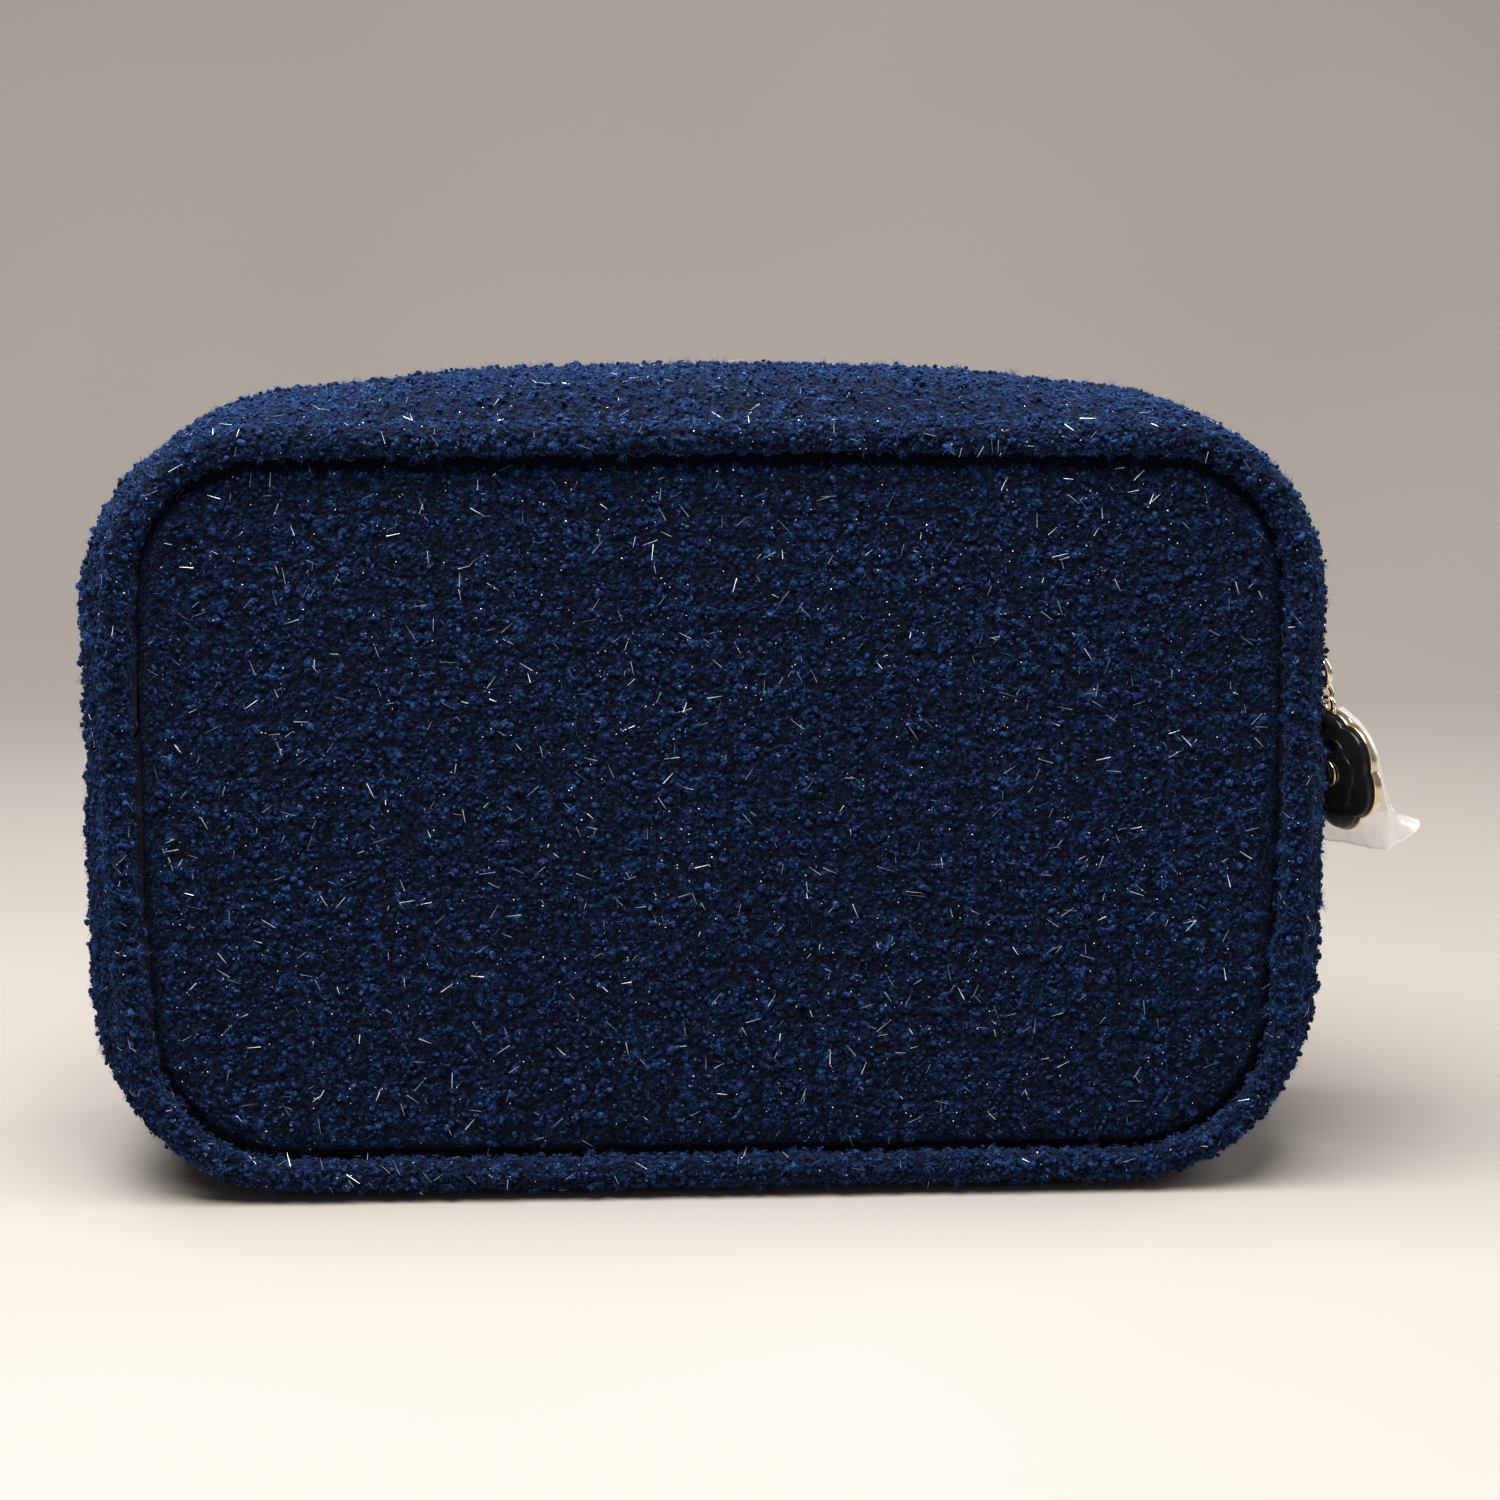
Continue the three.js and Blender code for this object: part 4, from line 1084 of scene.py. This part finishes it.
# CAD piece, material, body, bevel width, name
for row in (
    ("slider_body", "gold", "slider", 0.28, "slider_shell"),
    ("slider_lock_spring", "steel", "slider", 0.08, "slider_spring"),
    ("zip_bottom_stop", "gold", "root", 0.3, "bottom_stop"),
    ("back_top_stop", "gold", "root", 0.3, "top_stop_back"),
    ("front_top_stop", "gold", "front_lip", 0.3, "top_stop_front"),
    ("zip_end_tab_right", "lining", "root", 0.25, "end_tab_right"),
    ("zip_end_tab_left", "lining", "root", 0.25, "end_tab_left"),
    ("base_board", "board", "root", 0.25, "stiffener_board"),
):
    beveled(*row)

# the bail stands on the slider, and the ring and link hang from it
CREST_SIDE_X = CREST_TOP[0] + CREST_TOP[2]
BAIL_X = CREST_SIDE_X + 4.6
BAIL_FOOT_X = CREST_SIDE_X + 1.8 + 0.05
RING_RADIUS, RING_WIRE = 3.45, 0.6
LINK_HALF_HEIGHT, LINK_WIRE = 2.35, 0.45
PLAY = 0.2  # taken off each overlap of two rings
RING_TOP = np.array([BAIL_X - 1.55, 0, 100.95])
RING_DOWN = np.array([math.sin(0.25), 0, -math.cos(0.25)])
LINK_DOWN = unit((0.52, 0, -0.854))
LINK_TOP = RING_TOP + RING_DOWN * 2 * RING_RADIUS - LINK_DOWN * (RING_WIRE + LINK_WIRE + PLAY)
LINK_BOTTOM = LINK_TOP + LINK_DOWN * 2 * LINK_HALF_HEIGHT

bail("bail_wire", [
    (BAIL_FOOT_X, 0, 109.2), (BAIL_FOOT_X + 1.3, 0, 109.0), (BAIL_X, 0, 106.8),
    (BAIL_X + 0.1, 0, 103.5), (BAIL_X - 0.1, 0, 100.8), (BAIL_X - 1.2, 0, 99.35),
    (BAIL_FOOT_X, 0, 99.5)], 0.6, "slider", "slider_bail")
ring("jump_ring", RING_TOP + RING_DOWN * RING_RADIUS, RING_DOWN, (-0.44, 0.9, 0),
     RING_RADIUS, RING_RADIUS, wire_across=0.78, wire_radial=0.56,
     body="pull_ring", replaces="pull_ring", segments=72, sides=20)
ring("chain_link", LINK_TOP + LINK_DOWN * LINK_HALF_HEIGHT, LINK_DOWN, (0.9, 0.44, 0),
     1.75, LINK_HALF_HEIGHT, wire_across=LINK_WIRE, wire_radial=0.42,
     body="connector_link", replaces="connector_link", segments=56, sides=14)


# ---------------------------------------------------------------- charm
# The charm's own frame has its origin at the eyelet's foot and the plate below it. Its
# decorated face looks towards local -Y.
def rotation(axis, degrees):
    """Turn about axis 0, 1 or 2."""
    i, j = (axis + 1) % 3, (axis + 2) % 3
    cos, sin = math.cos(math.radians(degrees)), math.sin(math.radians(degrees))
    matrix = np.eye(3)
    matrix[i, i] = matrix[j, j] = cos
    matrix[i, j], matrix[j, i] = -sin, sin
    return matrix


CHARM_TURN = rotation(2, -64) @ rotation(1, -6) @ rotation(0, 8)
EYELET_RADIUS, EYELET_WIRE, EYELET_Y = 1.55, 0.5, 0.8
CHARM_RADIUS = 12.6
PLATE_Z = -(EYELET_RADIUS + EYELET_WIRE) - CHARM_RADIUS + 0.9
CHARM_ORIGIN = (LINK_BOTTOM - LINK_DOWN * (LINK_WIRE + EYELET_WIRE + PLAY)
                - CHARM_TURN @ np.array([0, EYELET_Y, EYELET_RADIUS]))


def in_charm(points):
    return points @ CHARM_TURN.T + CHARM_ORIGIN


def scalloped(radius, depth, turn=0.0):
    """Six-lobed outline: radius at each angle, and the lobe height about zero."""
    def shape(a):
        lobe = np.abs(np.cos(6 * (a - turn) / 2)) ** 0.75
        return radius - depth * (1 - lobe), lobe - 0.5
    return shape


def circular(radius):
    return lambda a: (radius + 0 * a, 0 * a)


def plate(name, shape, rings, material, replaces, sides=240):
    """A turned plate. Rings are (inset as a share of the radius, y, lobe relief)."""
    a = np.linspace(0, 2 * math.pi, sides, endpoint=False)
    radius, lobe = shape(a)
    points = []
    for inset, y, relief in rings:
        r = np.maximum(radius * (1 - inset), 0.0)
        points.append(np.stack([r * np.sin(a), y + relief * lobe, PLATE_Z + r * np.cos(a)], 1))
    points += [[[0, rings[0][1], PLATE_Z]], [[0, rings[-1][1], PLATE_Z]]]
    solid(name, in_charm(np.concatenate(points)),
          [quads(len(rings), sides, False, True), caps(len(rings), sides)],
          material, "charm", replaces)


plate("charm_plate", scalloped(CHARM_RADIUS, 1.3), [
    (0.25, 2.15, 0), (0.04, 2.15, 0), (0.012, 2.0, 0), (0, 1.75, 0), (0, 0.35, 0),
    (0.01, 0.15, 0), (0.035, 0.08, 0), (0.3, 0.08, 0)], "gold", "charm_setting")
ring("charm_eyelet", in_charm(np.array([0, EYELET_Y, 0])),
     CHARM_TURN @ np.array([0, 0, -1.0]), CHARM_TURN @ np.array([1.0, 0, 0]),
     EYELET_RADIUS, EYELET_RADIUS, wire_across=EYELET_WIRE, wire_radial=0.48,
     body="charm", replaces="charm_setting", segments=48, sides=14)
plate("charm_lower_petals", scalloped(CHARM_RADIUS - 0.55, 1.3), [
    (0.3, -0.12, 0), (0.02, -0.12, 0), (0, -0.3, 0), (0.002, -0.75, 0), (0.02, -1.15, 0.1),
    (0.06, -1.45, 0.16), (0.14, -1.62, -0.12), (0.26, -1.66, -0.34), (0.4, -1.55, -0.3),
    (0.55, -1.45, -0.1), (0.75, -1.4, 0)], "enamel", "charm_enamel")
plate("charm_upper_petals", scalloped(7.9, 1.0, turn=math.pi / 6), [
    (0.35, -1.3, 0), (0.0, -1.35, 0), (0.0, -1.75, 0), (0.03, -2.05, 0.08),
    (0.1, -2.22, 0.05), (0.25, -2.28, -0.2), (0.45, -2.15, -0.15), (0.68, -2.0, 0),
    (0.72, -1.6, 0)], "enamel", "charm_enamel")
plate("charm_bezel", circular(2.95), [
    (0.5, -1.45, 0), (0.0, -1.5, 0), (0.0, -2.35, 0), (0.03, -2.55, 0), (0.09, -2.66, 0),
    (0.17, -2.6, 0), (0.22, -2.4, 0), (0.26, -2.05, 0)], "gold", "charm_collar", 96)
plate("charm_centre_bead", circular(1.75), [
    (1 - math.sin(t), -2.15 - 1.15 * math.cos(t), 0)
    for t in np.linspace(math.pi * 0.5 + 0.5, 0.06, 26)], "enamel", "charm_bead", 72)

# stations down the sleeve: z, half width, reach towards +Y, reach towards -Y
SLEEVE = np.array([
    [-0.6, 3.2, 2.5, 0.9], [-3.0, 8.0, 2.5, 1.5], [-6.0, 11.3, 2.5, 1.8],
    [-10.0, 13.3, 2.5, 2.5], [-15.5, 13.8, 2.6, 2.9], [-20.5, 13.6, 3.6, 2.5],
    [-24.5, 13.0, 6.6, 2.0], [-28.2, 12.0, 12.4, 1.2]])


def build_sleeve(rows=90, sides=120):
    """A bag of clear film round the charm, open below and flaring at its lower end."""
    t = np.linspace(0, len(SLEEVE) - 1, rows)
    z, half_width, back, front = columns(resample(SLEEVE, np.arange(len(SLEEVE)), t))
    t = t[:, None]
    flare = np.clip((t - 3.6) / 3.4, 0, 1)
    a = np.linspace(0, 2 * math.pi, sides, endpoint=False)[None, :]
    cos, sin = np.cos(a), np.sin(a)
    wide = np.sign(cos) * np.abs(cos) ** 0.55
    deep = np.sign(sin) * np.abs(sin) ** 0.6
    x = wide * half_width + flare ** 1.3 * 1.8 * np.clip(wide, 0, 1)
    y = np.where(sin > 0, deep * back, deep * np.minimum(front + 0.2, 3.4)) + 0.2
    wrinkles = ((noise(x + 40, z * 0.6 + 60, 2.6, 1) - 0.5) * (0.25 + 0.5 * flare)
                + (noise(x * 1.4 + 90, z + 80, 1.1, 3) - 0.5) * 0.18)
    y = y + np.where(sin > 0, 1, -1) * np.abs(wrinkles) * (np.abs(sin) ** 0.5)
    z = z + flare * (2.6 * np.clip(y / 12.0, -0.3, 1) - 0.08 * np.clip(x, 0, 20))
    # haze along the open rim and down both side folds; the front is nearly clear
    rim = np.exp(-((rows - 1 - np.arange(rows))[:, None] / 1.2) ** 2)
    haze = rim + np.exp(-(np.abs(sin) / 0.07) ** 2) * 0.8
    veil = np.where(sin > 0.02, 1.0, 0.07 + 0.8 * np.clip((t - 5.3) / 1.0, 0, 1))
    points = np.stack([x, y, z], -1).reshape(-1, 3)
    ob = make_mesh("film_bag", in_charm(points), quads(rows, sides, False, True),
                   tip=np.clip(haze, 0, 1), veil=veil)
    finish_piece(ob, "film", "charm", ["film_sleeve"])


build_sleeve()


# ---------------------------------------------------------------- floor, light, camera
def build_floor():
    """A wide floor that curves up into a wall behind the pouch."""
    shader = Shader("pale_floor")
    shader.surface({
        "Base Color": shader.ramp(shader.noise(3, detail=2), [
            (0.3, (0.33, 0.30, 0.275)), (0.7, (0.35, 0.325, 0.30))]),
        "Roughness": 0.6})
    curve = [(600 + 500 * math.sin(t), 500 - 500 * math.cos(t))
             for t in np.linspace(0.1, math.pi / 2, 12)]
    profile = [(-6000, 0), (600, 0)] + curve + [(1100, 2200)]
    points = [(x, y, z - 0.05) for y, z in profile for x in (-6000, 6000)]
    floor = make_mesh("floor", points, quads(len(profile), 2))
    floor.data.materials.append(shader.material)


def area_light(name, location, target, size, power, color):
    """Places and sizes in metres, power in watts."""
    light = bpy.data.lights.new(name, "AREA")
    light.shape = "RECTANGLE"
    light.size, light.size_y = size
    light.energy = power
    light.color = color
    ob = add_object(name, light)
    ob.location = location
    aim = Vector(target) - Vector(location)
    ob.rotation_euler = aim.to_track_quat("-Z", "Y").to_euler()


def build_camera():
    """Camera in front and slightly above, in metres."""
    azimuth, elevation, distance = math.radians(-3), math.radians(9.5), 0.72
    target = Vector((0.0089, 0, 0.0823))
    lens = bpy.data.cameras.new("camera")
    lens.lens, lens.sensor_width = 85.0, 36.0
    lens.clip_start = 0.01
    camera = add_object("camera", lens)
    away = Vector((math.sin(azimuth) * math.cos(elevation),
                   -math.cos(azimuth) * math.cos(elevation), math.sin(elevation)))
    camera.location = target + away * distance
    camera.rotation_euler = (-away).to_track_quat("-Z", "Y").to_euler()
    bpy.context.scene.camera = camera


build_floor()
area_light("key", location=(-0.12, -0.18, 0.74), target=(0, 0.01, 0.08), size=(0.8, 0.6),
           power=20.5, color=(1.0, 0.985, 0.96))
area_light("front_fill", location=(0.35, -1.3, 0.45), target=(0, 0, 0.08), size=(1.0, 0.8),
           power=0.8, color=(1.0, 0.985, 0.97))
area_light("rim", location=(0.9, 0.35, 0.5), target=(0.05, 0, 0.09), size=(0.5, 0.6),
           power=5, color=(1.0, 0.97, 0.93))
world = bpy.data.worlds.new("studio")
bpy.context.scene.world = world
world.use_nodes = True
background = world.node_tree.nodes["Background"]
background.inputs["Color"].default_value = (0.86, 0.84, 0.82, 1)
background.inputs["Strength"].default_value = 0.20
build_camera()
bpy.context.scene.view_settings.view_transform = "Standard"
